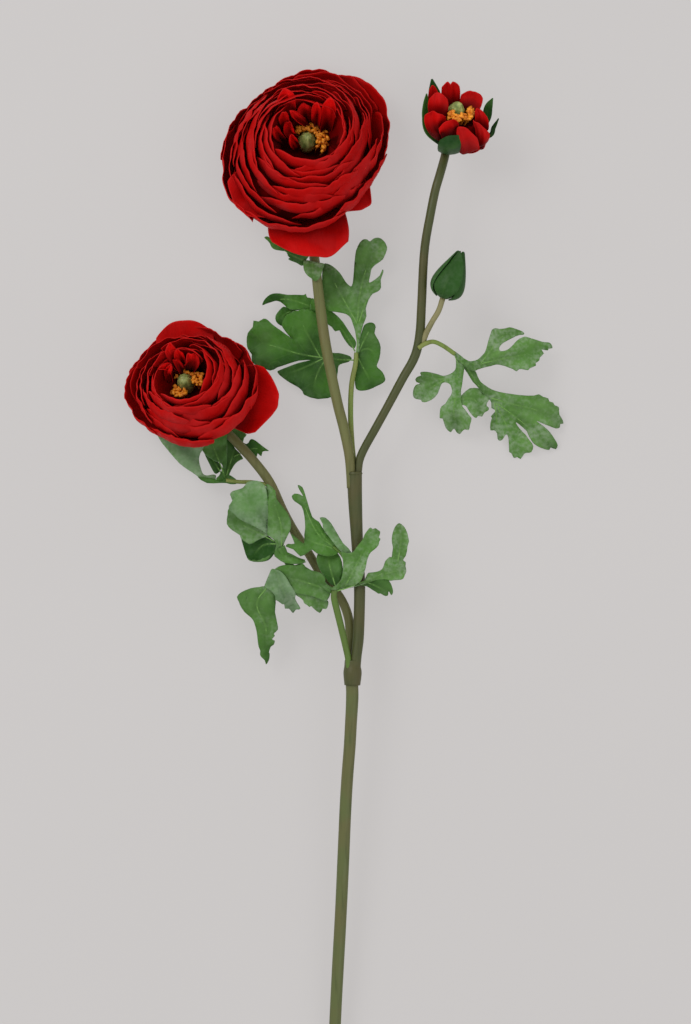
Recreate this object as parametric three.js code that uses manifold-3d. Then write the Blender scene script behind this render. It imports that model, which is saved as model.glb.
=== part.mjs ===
// A persian buttercup spray, laid on its back: two open blooms, an opening bud, a closed bud,
// five lobed leaves and forked stems that stand in two sockets. Millimetres, +Z up.
// The surface it lies on is z = 0, and the stems run along +Y.
import * as THREE from "three";
import { mergeVertices } from "three/addons/utils/BufferGeometryUtils.js";
import Module from "manifold-3d";

const wasm = await Module();
wasm.setup();

// Driving dimensions
const GAP = 0.3;
const BLADE = 0.8;
const STEM_SIDES = 8;
const PETIOLE_SIDES = 5;
const SOCKET_SIDES = 12;
const WIDE_LOBE = 9.5;
const LOBE_DISH = 0.16;
const TOOTH_TO_WIDTH = 0.45;
const TOOTH_TO_LENGTH = 0.25;

// Stems, root first. A row is [x, y, z, radius].
const MAIN_STEM = [
  [-7.4, -275, 2.9, 3],
  [-4.4, -202, 8.5, 3],
  [-1.2, -140, 12.5, 3],
  [1, -90, 16, 3],
  [3.1, -60, 18, 3],
  [4.1, -40, 19, 3.1],
  [4, -31, 19.4, 3.2],
];
const LOWER_SOCKET = [
  [4.2, -33, 19.4, 4],
  [4.3, -27, 19.5, 4.6],
  [4.4, -20, 19.5, 4.5],
];
const MIDDLE_STEM = [
  [5.4, -29, 20.3, 2.7],
  [5.9, -20, 20.5, 2.8],
  [7.2, -8, 20.5, 2.8],
  [7.85, 14, 20.5, 2.85],
  [7.1, 30, 20.5, 2.9],
  [6.3, 45, 20.5, 3.1],
  [5.5, 62, 20.5, 3.6],
  [5.4, 74, 20.5, 3.65],
];
const LARGE_BLOOM_STEM = [
  [3.6, 66, 21, 2.2],
  [3.3, 74, 21, 2.3],
  [2.4, 84, 21, 2.5],
  [-0.3, 97, 20.5, 2.6],
  [-3.8, 111, 20, 2.6],
  [-9.4, 139, 19, 2.65],
  [-12.5, 161.5, 18, 2.6],
  [-14.2, 176, 17.3, 2.5],
  [-16, 190, 13, 2.5],
  [-18, 203, 7, 2.5],
  [-19.8, 214, 3.3, 2.4],
  [-20.9, 225.8, 2.7, 2.3],
];
const SMALL_BLOOM_STEM = [
  [3.6, -26, 17.8, 2.2],
  [3.1, -14, 16.8, 2.3],
  [2.4, 0, 16, 2.3],
  [-2, 11, 15.5, 2.3],
  [-11, 22, 15, 2.3],
  [-19, 35, 14.5, 2.3],
  [-25.5, 45, 14, 2.3],
  [-31, 55, 13.3, 2.4],
  [-37.5, 69, 12, 2.4],
  [-46, 80.3, 10.8, 2.4],
  [-54.5, 89.5, 8.2, 2.4],
  [-62.5, 97.5, 5.4, 2.4],
  [-70.9, 106.4, 4.8, 2.3],
];
const BUD_STEM = [
  [6.9, 66, 19.8, 2],
  [7.1, 75, 19.8, 2],
  [8.8, 83, 20, 2.1],
  [16.4, 97, 21, 2.1],
  [23, 109, 22, 2.15],
  [29.4, 121, 23, 2.2],
  [35.5, 132, 23.5, 2.3],
  [38, 143, 24, 2.3],
  [38.9, 158, 24.5, 2.25],
  [40.3, 185, 25, 2.2],
  [43.4, 203.6, 25.2, 2.2],
  [45.8, 215.4, 24.6, 2.2],
  [48, 223, 23.2, 2.2],
  [50.4, 231.5, 18.6, 2.2],
  [51.9, 238.3, 14.8, 2.1],
];
const CLOSED_BUD_STEM = [
  [39.3, 137.5, 24.3, 1.3],
  [40.9, 143, 25, 1.5],
  [44.2, 149.4, 26, 1.4],
  [47.4, 154.8, 27, 1.4],
  [49.5, 161.2, 27.5, 1.4],
];

// Leaves. A petiole's row is [x, y, z, radius] and a lobe's is [x, y, z, half width], root first.
const RIGHT_LEAF = {
  petiole: [
    [37.2, 136, 26.4, 1.1],
    [40.5, 138.2, 26.2, 1.2],
    [44.8, 139.3, 25.5, 1.1],
    [49.7, 137.3, 24, 1.1],
    [55.6, 133.3, 22.3, 1.1],
  ],
  lobes: [
    [[54.8, 134, 22.3, 1], [57.6, 130.8, 21.8, 1.9], [61, 127.8, 21, 2.2], [65.8, 128.6, 20.5, 1.6]],
    [[60.3, 128.2, 21, 1.6], [66, 128.4, 20.6, 1.7], [70.3, 128.7, 20, 1.6]],
    [[68.5, 128.4, 20.2, 1.5], [74.3, 136, 18, 3.4], [79.6, 142.4, 15, 4.8], [90.6, 145.4, 11, 2.2]],
    [[68.5, 128.4, 20.2, 1.5], [79.5, 131, 18, 3.4], [91.4, 133.4, 14, 7.8], [105.4, 137.2, 10, 2.2]],
    [[60.5, 128.6, 21, 1.4], [64.3, 123, 18.5, 2], [67.8, 117.6, 15.5, 2.1], [76.8, 109, 12, 3]],
    [[74, 111.5, 13, 2.4], [85, 108.4, 10.5, 5], [97, 105.6, 7, 7.4], [110.6, 99.8, 2.6, 5.4]],
    [[77.5, 108.5, 12, 2.4], [88.5, 100.5, 8.5, 4.4], [98.4, 92.6, 4.5, 4.6], [107.4, 85.2, 0.2, 2.8]],
    [[76.5, 109, 12, 2.2], [81.5, 99, 8, 3.4], [86, 90, 4, 5.4], [88.6, 81.6, 0.3, 3.6]],
    [[75.8, 109, 12, 2], [76.8, 102.5, 10, 3.4], [77.4, 96.5, 7, 3.8], [78.6, 90, 4, 1]],
    [[55.4, 133.4, 22, 1.2], [57.4, 127.3, 20, 1.9], [56.8, 120.5, 17.5, 1.9], [56.2, 109, 14, 2]],
    [[57.4, 121, 17.5, 1.5], [50, 120.9, 16.8, 1.7], [42.5, 121.4, 15.5, 2.9], [36.4, 120.8, 14, 1.7]],
    [[51, 120.6, 16.8, 1.6], [45.5, 117.6, 15.5, 3.6], [41.4, 114.6, 14, 4.6], [37.4, 110.8, 12.4, 2.8]],
    [[56.3, 112.5, 14.8, 1.8], [55.2, 105.6, 13, 6.2], [56, 100.4, 10, 7.4], [57.2, 94, 6, 4.2]],
    [[56.2, 109.6, 14.4, 1.6], [61.2, 111.4, 13.6, 3.8], [66.6, 110, 12, 6], [69.4, 102.6, 9.4, 3.6]],
  ],
};
const UPPER_LEFT_LEAF = {
  petiole: [
    [5.4, 68, 18.2, 1.3],
    [5.2, 76, 17.6, 1.4],
    [4, 88, 16, 1.4],
    [3.3, 103, 14, 1.35],
    [3.8, 118, 12.4, 1.3],
    [5.8, 128.6, 11.4, 1.25],
    [6.2, 134.4, 11, 1.1],
  ],
  lobes: [
    [[5.6, 130.6, 11.2, 1.2], [-1.5, 130.9, 10.2, 2.2], [-7, 131.5, 9.6, 2.4], [-12.6, 131.9, 9, 2.4]],
    [[-10, 131.8, 9.2, 2.2], [-23, 134, 8, 5.6], [-36, 138, 6, 13], [-48.8, 141, 4, 9.5]],
    [[-11.5, 131.5, 9, 2.2], [-15.8, 139, 10, 6.6], [-20, 147, 11, 9.6], [-22, 154.2, 10, 6]],
    [[-9.5, 132, 9.2, 2.4], [-18, 128, 8, 4.4], [-25.4, 125, 6.6, 4.6], [-32.6, 123.9, 5, 0.9]],
    [[-8.5, 132, 9.2, 3.4], [-12.8, 125.4, 8, 9.8], [-15, 118.4, 6.4, 10.4], [-15, 110, 4.4, 5.4]],
    [[5.6, 135, 11, 1.1], [2.2, 141, 10.6, 1.7], [-2.4, 147.8, 10, 2], [-9, 153, 9.4, 1.8]],
    [[-7.8, 152.2, 9.4, 1.6], [-19, 158.6, 9, 3.4], [-31, 161.6, 8.4, 2.6], [-41.4, 158.2, 7, 1]],
    [[-18, 157, 8.4, 1.8], [-27, 155.4, 7, 2.6], [-31.6, 152.2, 5.6, 2.4], [-32, 148.6, 4.6, 1.4]],
    [[6.3, 133.4, 11, 1.1], [6.7, 140, 11.4, 1.6], [6.7, 147, 11.8, 2.4], [7.2, 154, 12, 3]],
    [[6.8, 150, 12, 2.2], [8, 164, 12, 4.4], [11.8, 178.6, 11, 6.2], [17.4, 192, 10, 6.6]],
    [[6.6, 149, 12, 2.2], [1.6, 158, 12, 7], [-4, 168, 12, 9], [-10, 180.6, 11, 5]],
    [[7.4, 149, 12, 1.8], [10.8, 159.4, 12.4, 3.2], [14.6, 166, 12.6, 3.4], [18.8, 172, 12, 0.8]],
    [[6.8, 133.4, 11, 1.3], [9.6, 139.6, 11.4, 3], [12, 144.2, 11.4, 3.2], [13.5, 148, 11, 1.8]],
    [[6.8, 134.2, 11, 1.3], [11.2, 136.6, 10.4, 4.2], [14.8, 134.8, 9.6, 4.4], [16.4, 128.8, 8.4, 2.6]],
    [[6.6, 132.6, 11, 1.3], [9.6, 127, 10, 4.8], [12.6, 121.4, 8.6, 7], [13.4, 116, 7, 5.2]],
  ],
};
const BACK_LEAF = {
  petiole: [
    [-37.5, 67.5, 12, 1],
    [-46, 69, 11.6, 1],
    [-53, 69.2, 11, 1],
    [-59.5, 70, 10.6, 1],
  ],
  lobes: [
    [[-52.5, 69.2, 11, 1], [-56, 70.4, 11, 2.2], [-59.5, 70.6, 10.6, 1.4]],
    [[-58.6, 70.2, 10.6, 1.5], [-69.5, 75.6, 9.6, 3.4], [-77.6, 83.6, 8.6, 5.6], [-86, 92.6, 8, 5]],
    [[-60.4, 72.4, 10.4, 1.4], [-63.6, 81, 10, 3.4], [-66, 87, 9, 4], [-67.4, 93.4, 8, 2.6]],
    [[-59.8, 71, 10.2, 1.5], [-57.4, 79, 7.6, 4], [-55.6, 85.4, 5.4, 4.6], [-54, 92.4, 4, 3]],
    [[-61.6, 73, 9.6, 1], [-65.4, 79, 7.4, 2.6], [-68.8, 84.6, 6, 2.4], [-71, 89.4, 5, 1.4]],
    [[-55.6, 82, 6.4, 1.8], [-49.6, 85, 4.6, 2.8], [-44.6, 86.2, 4.2, 3], [-39.8, 84.4, 4, 1.2]],
  ],
};
const LOWER_LEAF = {
  petiole: [
    [2.6, -25, 21.6, 1.5],
    [1.8, -18, 22.2, 1.6],
    [-1.4, -4, 24, 1.7],
    [-3.5, 4.5, 24.6, 1.7],
    [-5, 11, 24.6, 1.6],
    [-4.6, 15.4, 24.6, 1.5],
    [-0.4, 20.6, 25.2, 1.4],
    [1.6, 27, 25.6, 1.4],
    [-1.2, 33, 25.4, 1.3],
    [-5.4, 36.6, 25, 1.2],
  ],
  lobes: [
    [[-4.6, 13.6, 24.4, 1.8], [-15, 17.4, 22, 6], [-26, 20.4, 21, 7.2], [-37, 21, 20.6, 4]],
    [[-33.4, 22.4, 21.4, 2.4], [-31, 15.4, 23, 5.4], [-28, 9.6, 21.4, 4.2], [-25.6, 4.2, 18.4, 2.2]],
    [[-13, 14.6, 22, 5], [-14.2, 10.8, 20.6, 5.6], [-13.6, 7.8, 19.4, 4.4], [-12.4, 4, 17.6, 2.4]],
    [
      [-35.6, 19, 20.6, 3],
      [-44, 8.4, 18.6, 9.2],
      [-39.6, -3, 15, 6],
      [-39.2, -12, 12, 4.2],
      [-38.6, -22, 9, 1.2],
    ],
    [[-6, 14.4, 24, 1.4], [-16, 21, 20.8, 1.4], [-26.4, 26.4, 19.6, 1.6], [-31.6, 36.4, 21, 1.9]],
    [[-31, 34, 20.8, 1.9], [-37.6, 46.6, 22, 8.4], [-44.6, 56.4, 22, 12], [-51.6, 66.6, 20, 8]],
    [[-31.4, 35, 20.8, 1.8], [-31.4, 46, 22, 4.8], [-34.2, 56, 22.4, 4.2], [-37.4, 66.6, 21, 1.8]],
    [[-34.4, 39, 20.6, 1.4], [-43.4, 43.6, 19.4, 3.6], [-50.4, 47.2, 18.4, 4.8], [-57.4, 51.6, 17, 3.2]],
    [[-32.6, 38, 20.4, 2], [-40, 37.6, 17, 5.6], [-44.4, 33.6, 15.6, 5.4], [-45.2, 29.4, 14, 3]],
    [[-30.4, 32.4, 20.2, 2], [-26.8, 30.6, 20, 2.2], [-23.4, 29.6, 20, 1.6], [-19.6, 29.4, 20, 0.6]],
    [[-4.6, 36, 25, 1.8], [-13, 43, 24.6, 3.2], [-18.6, 54, 25.2, 2.8], [-23.2, 67.4, 25, 0.7]],
    [[-4.4, 35.4, 25, 1.8], [-11, 37.6, 25, 4.4], [-17, 39.6, 24, 3.2], [-26, 45.4, 22, 0.8]],
    [[-5.4, 36.4, 25, 1.6], [-10, 41.8, 25, 2.8], [-14, 47.6, 24.4, 2.4], [-16.4, 53, 23.4, 1]],
    [[1.2, 32.4, 25.4, 1.4], [-3, 41, 26, 2], [-8, 48.6, 26, 2], [-12.8, 51.8, 25, 1]],
    [[-4, 16, 24.2, 1.8], [-6.6, 24.6, 23, 5.4], [-8, 31.4, 22.4, 6.2], [-8.6, 37, 22, 3.4]],
    [[0.4, 16.6, 25.2, 2.2], [5, 25, 27, 4.4], [9.6, 34.6, 28, 4.4], [15, 44.4, 27, 3]],
    [
      [-4.6, 14.2, 24.8, 1.6],
      [3, 16.4, 25.6, 1.8],
      [12.6, 20.4, 25.4, 1.9],
      [20.4, 23.8, 24, 1.7],
      [28, 30.4, 22, 1.5],
    ],
    [[27, 29, 22.2, 1.4], [28.2, 36.6, 21.6, 3.4], [28.4, 42, 21, 4.2], [27.4, 48, 20, 1.8]],
    [[18.6, 22.8, 24, 1.4], [24, 23.8, 23, 3.4], [28.2, 25, 22, 4], [31, 25.4, 21, 2.8]],
    [[9.6, 19.4, 25.2, 1], [15, 17.4, 24, 2.6], [19.6, 15, 22.6, 3.2], [23, 12.6, 21, 1.6]],
  ],
};
const BRACT_LEAF = {
  petiole: null,
  lobes: [
    [[-15, 178.4, 20, 1.6], [-22, 181, 20.4, 2.6], [-28.6, 184.4, 21, 2.3], [-39, 190.8, 22, 1]],
    [[-16, 180.6, 20, 3.2], [-15.8, 176, 21.4, 4.6], [-15.3, 172.6, 21.8, 4], [-15, 169.6, 21.6, 2]],
    [[-15.4, 178.4, 20, 2], [-12.4, 178.6, 20, 1.8], [-9.6, 178.3, 20, 0.9]],
  ],
};

// Blooms. The base is the back of the bloom and the axis points out of its face. The mouth is how
// far the well's rim is off the axis, and reach is what the outermost rim adds to its radius at
// twelve turns, anticlockwise from the right. A petal is rows of [x, y, z, half width], foot first.
const LARGE_BLOOM = {
  base: [-20.9, 228, 6.1],
  axis: [0.04, 0.36, 0.932],
  wide: 1,
  deep: 1,
  seed: 3,
  whorls: [5, 6, 6, 7],
  heart: 4,
  mouth: [1.6, -2.1],
  reach: [-2.5, 2.8, 3.6, 0, -4.7, -5.4, -2.4, 2, 3.5, 1.4, -3.8, -6],
  open: [
    [
      [-19.5, 221, 13.5, 11],
      [-18.6, 209, 17, 17.6],
      [-18, 198.6, 24, 20],
      [-16.8, 190.4, 31, 19],
      [-14.5, 181.4, 36, 15],
    ],
    [[-10, 224, 13, 8], [0, 217, 16, 10], [6.2, 212.2, 21, 9.4], [12, 206.8, 26, 5.6]],
  ],
};
const SMALL_BLOOM = {
  base: [-71.9, 108.2, 7.8],
  axis: [-0.25, 0.42, 0.873],
  wide: 0.8,
  deep: 0.85,
  seed: 47,
  whorls: [5, 5, 6],
  heart: 4,
  mouth: [1.1, -3.4],
  reach: [0, -1.6, -3.6, -1.4, -0.4, 0.2, -0.4, -5.4, -9.6, -8.4, -5.8, -2.6],
  open: [
    [[-74, 122, 14, 9], [-78.4, 131, 9, 13], [-80.4, 141, 8.5, 14.6], [-81.4, 150.8, 12, 12]],
    [
      [-68, 111, 15, 8],
      [-58, 110.4, 15, 13],
      [-48, 110.6, 17, 17],
      [-41, 110.2, 20.5, 16.6],
      [-33, 109, 23.5, 11],
    ],
  ],
};
const OPENING_BUD = {
  base: [53.2, 241.6, 17],
  axis: [0.24, 0.6, 0.763],
  petals: [
    [[54, 250, 20, 2.2], [53.8, 257, 24, 4.1], [53.4, 263.8, 28.5, 4.7], [53.2, 269.1, 32, 4]],
    [[59.6, 249, 21, 2.6], [62, 255, 25, 4.8], [63.7, 260, 29, 5.6], [64.2, 264.1, 32, 5]],
    [[44.8, 252, 25, 2.6], [45.3, 257, 29, 3.4], [44.6, 262.6, 33, 2.6], [44, 266.8, 35.5, 0.9]],
    [[48.4, 245, 28, 3], [47.2, 251.4, 34, 4.5], [46.9, 257.2, 38, 4.6], [46.9, 262.8, 40, 2.6]],
    [[51, 241, 28, 2], [47.2, 244.4, 34, 3.9], [45, 248.6, 38, 4.3], [45.2, 252.6, 40, 3.5]],
    [[54.2, 240, 30, 3.4], [52.8, 243.8, 37, 4.2], [51.2, 248.4, 41, 3.8]],
    [
      [58, 240.5, 20, 2.6],
      [60.6, 234.4, 22.5, 4.6],
      [62.2, 234, 30, 5.2],
      [61.4, 239.6, 38, 5.2],
      [58.8, 245.6, 41.5, 4.2],
    ],
    [[62, 240, 24, 2], [67.2, 238.4, 28, 3], [68.4, 242.4, 34, 3.9], [65.8, 248.2, 39, 3.4]],
    [[63.4, 246, 26, 2.8], [68.4, 246, 29, 3.6], [68.8, 250.6, 34, 3.6], [67, 255, 37, 2.4]],
    [[61, 240, 20, 1.8], [68, 237.8, 23, 2.3], [70.4, 241, 27, 2.4], [71.2, 245, 30, 1.5]],
  ],
  sepals: [
    [
      [52.6, 243, 15.4, 1.8],
      [48, 249, 13.2, 2.8],
      [45.6, 256.4, 18, 4],
      [44.8, 262.6, 26.6, 3.2],
      [43.6, 269, 34, 0.3],
    ],
    [
      [52, 242, 15.8, 1.8],
      [46.6, 240, 17.4, 2],
      [41.6, 245.4, 22, 2.4],
      [39.8, 253.4, 27, 1.7],
      [40.8, 262, 33, 0.3],
    ],
    [
      [55.6, 241.6, 15.4, 1.6],
      [61, 243.4, 13.6, 1.8],
      [66.6, 247.4, 15.6, 2.2],
      [70.8, 252.4, 24, 2.4],
      [74.3, 260.6, 32, 0.3],
    ],
    [
      [55, 240.8, 15.2, 1.4],
      [62.2, 240, 15, 1.6],
      [68, 241, 16, 1.4],
      [74, 245, 20, 1.2],
      [77.4, 251, 26, 0.3],
    ],
    [
      [53, 241.2, 16.4, 2.6],
      [53.4, 234.4, 18.6, 4.6],
      [53.8, 233.8, 26, 6.6],
      [54.4, 236.6, 34.4, 7.2],
      [54.6, 241.4, 39, 5.4],
    ],
  ],
};
const CLOSED_BUD = { base: [49.6, 161.6, 27.8], axis: [0.35, 0.935, 0.06] };

// The well of a bloom, and the petals round it, before wide and deep scale them.
const WELL_RADIUS = 17;
const BLOOM_RADIUS = 42;
const RIM_TOP = 46;
const RIM_DROP = 22;
const FLOOR = 18;
const PINWHEEL = 2;
const RUFFLE = 0.7;
const PETAL_ROUND = 0.16;
const PETAL_FLARE = 0.65;
const SHEET_ROUND = 0.2;
const PETAL_LAP = 1.12;
const SEPAL_HALF_TURN = 0.42;
const SEPAL_TURNS = [18, 90, 162, 234, 306];
const BUD_SEPAL_COUNT = 4;
const BUD_SEPAL_HALF_TURN = 0.92;
const BUD_FLOOR = 13;

const UP = new THREE.Vector3(0, 0, 1);
const STEP = 0.01;
const WELD = 1e-4;
const DEGREE = Math.PI / 180;

// An even scatter from -1 to 1, the same on every run.
function jitter(seed) {
  const wave = Math.sin(seed * 12.9898) * 43758.5453;
  return 2 * (wave - Math.floor(wave)) - 1;
}

// Solids and geometries

function solid(geometry) {
  const bare = new THREE.BufferGeometry();
  bare.setAttribute("position", geometry.getAttribute("position"));
  bare.setIndex(geometry.getIndex());
  const merged = mergeVertices(bare, WELD);
  const index = merged.getIndex().array;
  const kept = [];
  for (let i = 0; i < index.length; i += 3) {
    const [a, b, c] = index.slice(i, i + 3);
    if (a !== b && b !== c && c !== a) kept.push(a, b, c);
  }
  return new wasm.Manifold(
    new wasm.Mesh({
      numProp: 3,
      vertProperties: merged.getAttribute("position").array,
      triVerts: new Uint32Array(kept),
    }),
  );
}

function geometryOf(body) {
  const mesh = body.getMesh();
  const geometry = new THREE.BufferGeometry();
  geometry.setAttribute("position", new THREE.BufferAttribute(mesh.vertProperties, 3));
  geometry.setIndex(new THREE.BufferAttribute(mesh.triVerts, 1));
  geometry.computeVertexNormals();
  return geometry;
}

function join(solids) {
  return solids.reduce((sum, next) => sum.add(next));
}

function cut(body, ...tools) {
  return largest(tools.reduce((rest, tool) => rest.subtract(tool), body));
}

function largest(body) {
  return body.decompose().sort((a, b) => b.volume() - a.volume())[0];
}

// Everything under the surface that the flower lies on.
const TABLE_DEPTH = 60;
const BELOW_TABLE = solid(new THREE.BoxGeometry(600, 1200, TABLE_DEPTH).translate(0, 0, -TABLE_DEPTH / 2));

// Where a smooth line through rows of [x, y, z, size] is at t, and its directions there.
function guide(rows) {
  const points = rows.map(([x, y, z]) => new THREE.Vector3(x, y, z));
  const curve = new THREE.CatmullRomCurve3(points, false, "catmullrom");
  return (t) => {
    const forward = curve.getTangent(t);
    const side = forward.clone().cross(UP).normalize();
    const place = t * (rows.length - 1);
    const row = Math.min(Math.floor(place), rows.length - 2);
    return {
      centre: curve.getPoint(t),
      side,
      up: side.clone().cross(forward),
      size: THREE.MathUtils.lerp(rows[row][3], rows[row + 1][3], place - row),
    };
  };
}

// A round rod along a guide, closed at both ends.
function rod(rows, sides, extra = 0) {
  const steps = rows.length - 1;
  const geometry = new THREE.CylinderGeometry(1, 1, 1, sides, steps);
  const at = guide(rows);
  const place = geometry.getAttribute("position");
  for (let i = 0; i < place.count; i++) {
    const { centre, side, up, size } = at(place.getY(i) + 0.5);
    centre.addScaledVector(side, place.getX(i) * (size + extra));
    centre.addScaledVector(up, place.getZ(i) * (size + extra));
    place.setXYZ(i, centre.x, centre.y, centre.z);
  }
  return solid(geometry);
}

function clearanceOf(rows, sides) {
  return rod(rows, sides, GAP);
}

// A closed blade. point(u, v) is its middle surface, with u from -1 to 1 across and v from 0 to 1 along.
function blade(point, columns, rows, { transform, wall = BLADE } = {}) {
  const grid = new THREE.PlaneGeometry(2, 1, columns, rows);
  const flat = grid.getAttribute("position");
  const count = flat.count;
  const corners = new Float32Array(6 * count);
  for (let i = 0; i < count; i++) {
    const u = flat.getX(i);
    const v = flat.getY(i) + 0.5;
    const across = point(Math.min(u + STEP, 1), v).sub(point(Math.max(u - STEP, -1), v));
    const along = point(u, Math.min(v + STEP, 1)).sub(point(u, Math.max(v - STEP, 0)));
    const offset = across.cross(along).setLength(wall / 2);
    point(u, v).add(offset).toArray(corners, 3 * i);
    point(u, v).sub(offset).toArray(corners, 3 * (count + i));
  }
  const upper = Array.from(grid.getIndex().array);
  const lower = upper.map((corner) => corner + count).reverse();
  const rim = edgeOf(columns, rows).flatMap((a, i, edge) => {
    const b = edge[(i + 1) % edge.length];
    return [b, a, a + count, b, a + count, b + count];
  });
  const geometry = new THREE.BufferGeometry();
  geometry.setAttribute("position", new THREE.BufferAttribute(corners, 3));
  geometry.setIndex([...upper, ...lower, ...rim]);
  if (transform) geometry.applyMatrix4(transform);
  return solid(geometry);
}

// The corners round a plane's edge, anticlockwise from its lower left.
function edgeOf(columns, rows) {
  const width = columns + 1;
  const edge = [];
  for (let i = 0; i < columns; i++) edge.push(rows * width + i);
  for (let j = rows; j > 0; j--) edge.push(j * width + columns);
  for (let i = columns; i > 0; i--) edge.push(i);
  for (let j = 0; j < rows; j++) edge.push(j * width);
  return edge;
}

function lathe(profile, sides, transform) {
  const points = profile.map(([radius, height]) => new THREE.Vector2(radius, height));
  const geometry = new THREE.LatheGeometry(points, sides);
  geometry.rotateX(Math.PI / 2);
  if (transform) geometry.applyMatrix4(transform);
  return solid(geometry);
}

// Leaves

// A lobe with a three-toothed end, dished along its rib.
function lobe(rows) {
  const at = guide(rows);
  const widest = Math.max(...rows.map((row) => row[3]));
  const [first, last] = [rows[0], rows[rows.length - 1]];
  const length = Math.hypot(last[0] - first[0], last[1] - first[1], last[2] - first[2]);
  const tooth = Math.min(TOOTH_TO_WIDTH * last[3], TOOTH_TO_LENGTH * length);
  const point = (u, v) => {
    const back = tooth * (u * u + 0.8 * Math.sin(Math.PI * u) ** 2);
    const { centre, side, up, size } = at(v * (1 - back / length));
    centre.addScaledVector(side, u * size);
    return centre.addScaledVector(up, LOBE_DISH * u * u * size);
  };
  return blade(point, widest > WIDE_LOBE ? 4 : 2, rows.length - 1);
}

function leaf({ petiole, lobes }, ...clearances) {
  const blades = lobes.map(lobe);
  const pieces = petiole ? [rod(petiole, PETIOLE_SIDES), ...blades] : blades;
  return cut(join(pieces), ...clearances);
}

// Blooms

// A flower's own frame: z out of its face, x to the right and y up as seen from above.
function frameOf({ base, axis }) {
  const z = new THREE.Vector3(...axis).normalize();
  const x = new THREE.Vector3(1, 0, 0).addScaledVector(z, -z.x).normalize();
  const y = z.clone().cross(x);
  return new THREE.Matrix4().makeBasis(x, y, z).setPosition(...base);
}

// The middle surface of a petal whose line from foot to rim is a cubic curve of [radius, height].
function petal({ turn, half, line, twist = PINWHEEL, ruffle = RUFFLE, phase = 0 }) {
  const [foot, low, high, rim] = line.map(([radius, height]) => new THREE.Vector2(radius, height));
  const curve = new THREE.CubicBezierCurve(foot, low, high, rim);
  return (u, v) => {
    const reach = v * (1 - PETAL_ROUND * Math.abs(u) ** 2.5);
    const { x: radius, y: height } = curve.getPoint(reach);
    const angle = turn + u * half * (1 - PETAL_FLARE + PETAL_FLARE * Math.sqrt(reach));
    const wave = ruffle * Math.sin(3 * Math.PI * u + phase) * reach ** 3;
    const out = radius + twist * u * reach + wave;
    return new THREE.Vector3(out * Math.cos(angle), out * Math.sin(angle), height);
  };
}

// A petal or sepal laid through rows of [x, y, z, half width], as wide as its whole run asks.
function sheet(rows, wall = BLADE) {
  const at = guide(rows);
  const [first, last] = [rows[0], rows[rows.length - 1]];
  const side = new THREE.Vector3(last[0] - first[0], last[1] - first[1], 0).cross(UP).normalize();
  const point = (u, v) => {
    const { centre, size } = at(v * (1 - SHEET_ROUND * u * u));
    return centre.addScaledVector(side, u * size);
  };
  return blade(point, 2, rows.length - 1, { wall });
}

// A smooth closed line through values that stand at equal turns, anticlockwise from the right.
function around(values, turn) {
  const place = (((turn / (2 * Math.PI)) % 1) + 1) * values.length;
  const i = Math.floor(place);
  const f = place - i;
  const [a, b, c, d] = [-1, 0, 1, 2].map((step) => values[(i + step) % values.length]);
  const [start, stop] = [(c - a) / 2, (d - b) / 2];
  const bend = 3 * (c - b) - 2 * start - stop;
  return (2 * (b - c) + start + stop) * f ** 3 + bend * f ** 2 + start * f + b;
}

// Layers of petals round a well, each layer wider and lower than the one inside it.
// The outermost ones reach down to the base, and the others stand in the core.
function bloomPetals({ wide, deep, seed, whorls, heart, open, mouth, reach, ...place }) {
  const pieces = [bloomCore()];
  whorls.forEach((count, k) => {
    const t = k / (whorls.length - 1);
    const outermost = t === 1;
    for (let i = 0; i < count; i++) {
      const mark = seed + 31 * k + i;
      const out = WELL_RADIUS + (BLOOM_RADIUS - WELL_RADIUS) * t + 1.2 * jitter(mark);
      const top = RIM_TOP - RIM_DROP * t ** 1.5 + 1.4 * jitter(mark + 500);
      const point = petal({
        turn: (2 * Math.PI * (i + 0.37 * k + 0.12 * jitter(mark + 900))) / count,
        half: (PETAL_LAP * Math.PI) / count,
        line: outermost ? cupLine(out, top) : standingLine(out, top),
        twist: outermost ? 1 : PINWHEEL,
        phase: 3 * jitter(mark + 70),
      });
      pieces.push(blade(point, t < 0.6 ? 2 : 3, outermost ? 3 : 2));
    }
  });
  for (let i = 0; i < heart; i++) {
    const point = petal({
      turn: (2 * Math.PI * (i + 0.2 * jitter(seed + i))) / heart,
      half: (0.9 * Math.PI) / heart,
      line: [[15.9, 28], [15.4, 32], [14.4, 37], [11.5 + jitter(seed + 5 * i), 41 + jitter(seed + 9 * i)]],
      twist: 0.8,
    });
    pieces.push(blade(point, 2, 2));
  }
  const frame = frameOf(place).scale(new THREE.Vector3(wide, wide, deep));
  const rounded = join(pieces).warp((corner) => stretch(corner, mouth, reach));
  return cut(join([rounded.transform(frame.elements), ...open.map((rows) => sheet(rows))]), BELOW_TABLE);
}

// Moves a bloom's corner by what its reach and its mouth ask of it.
function stretch(corner, mouth, reach) {
  const [x, y, z] = corner;
  const radius = Math.hypot(x, y);
  const out = 1 + (around(reach, Math.atan2(y, x)) * (radius / BLOOM_RADIUS) ** 1.4) / Math.max(radius, 1);
  const high = THREE.MathUtils.clamp((z - FLOOR) / (RIM_TOP - FLOOR), 0, 1);
  const inner = THREE.MathUtils.clamp((BLOOM_RADIUS - radius) / (BLOOM_RADIUS - WELL_RADIUS), 0, 1);
  corner[0] = x * out + mouth[0] * high * inner;
  corner[1] = y * out + mouth[1] * high * inner;
}

function cupLine(out, top) {
  return [[5, 5], [0.8 * out, -1.5], [out + 3.5, 0.46 * top], [out + 0.6, top]];
}

function standingLine(out, top) {
  return [[out - 1.5, top - 13], [out, top - 9], [out + 2.2, top - 4], [out, top]];
}

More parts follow.
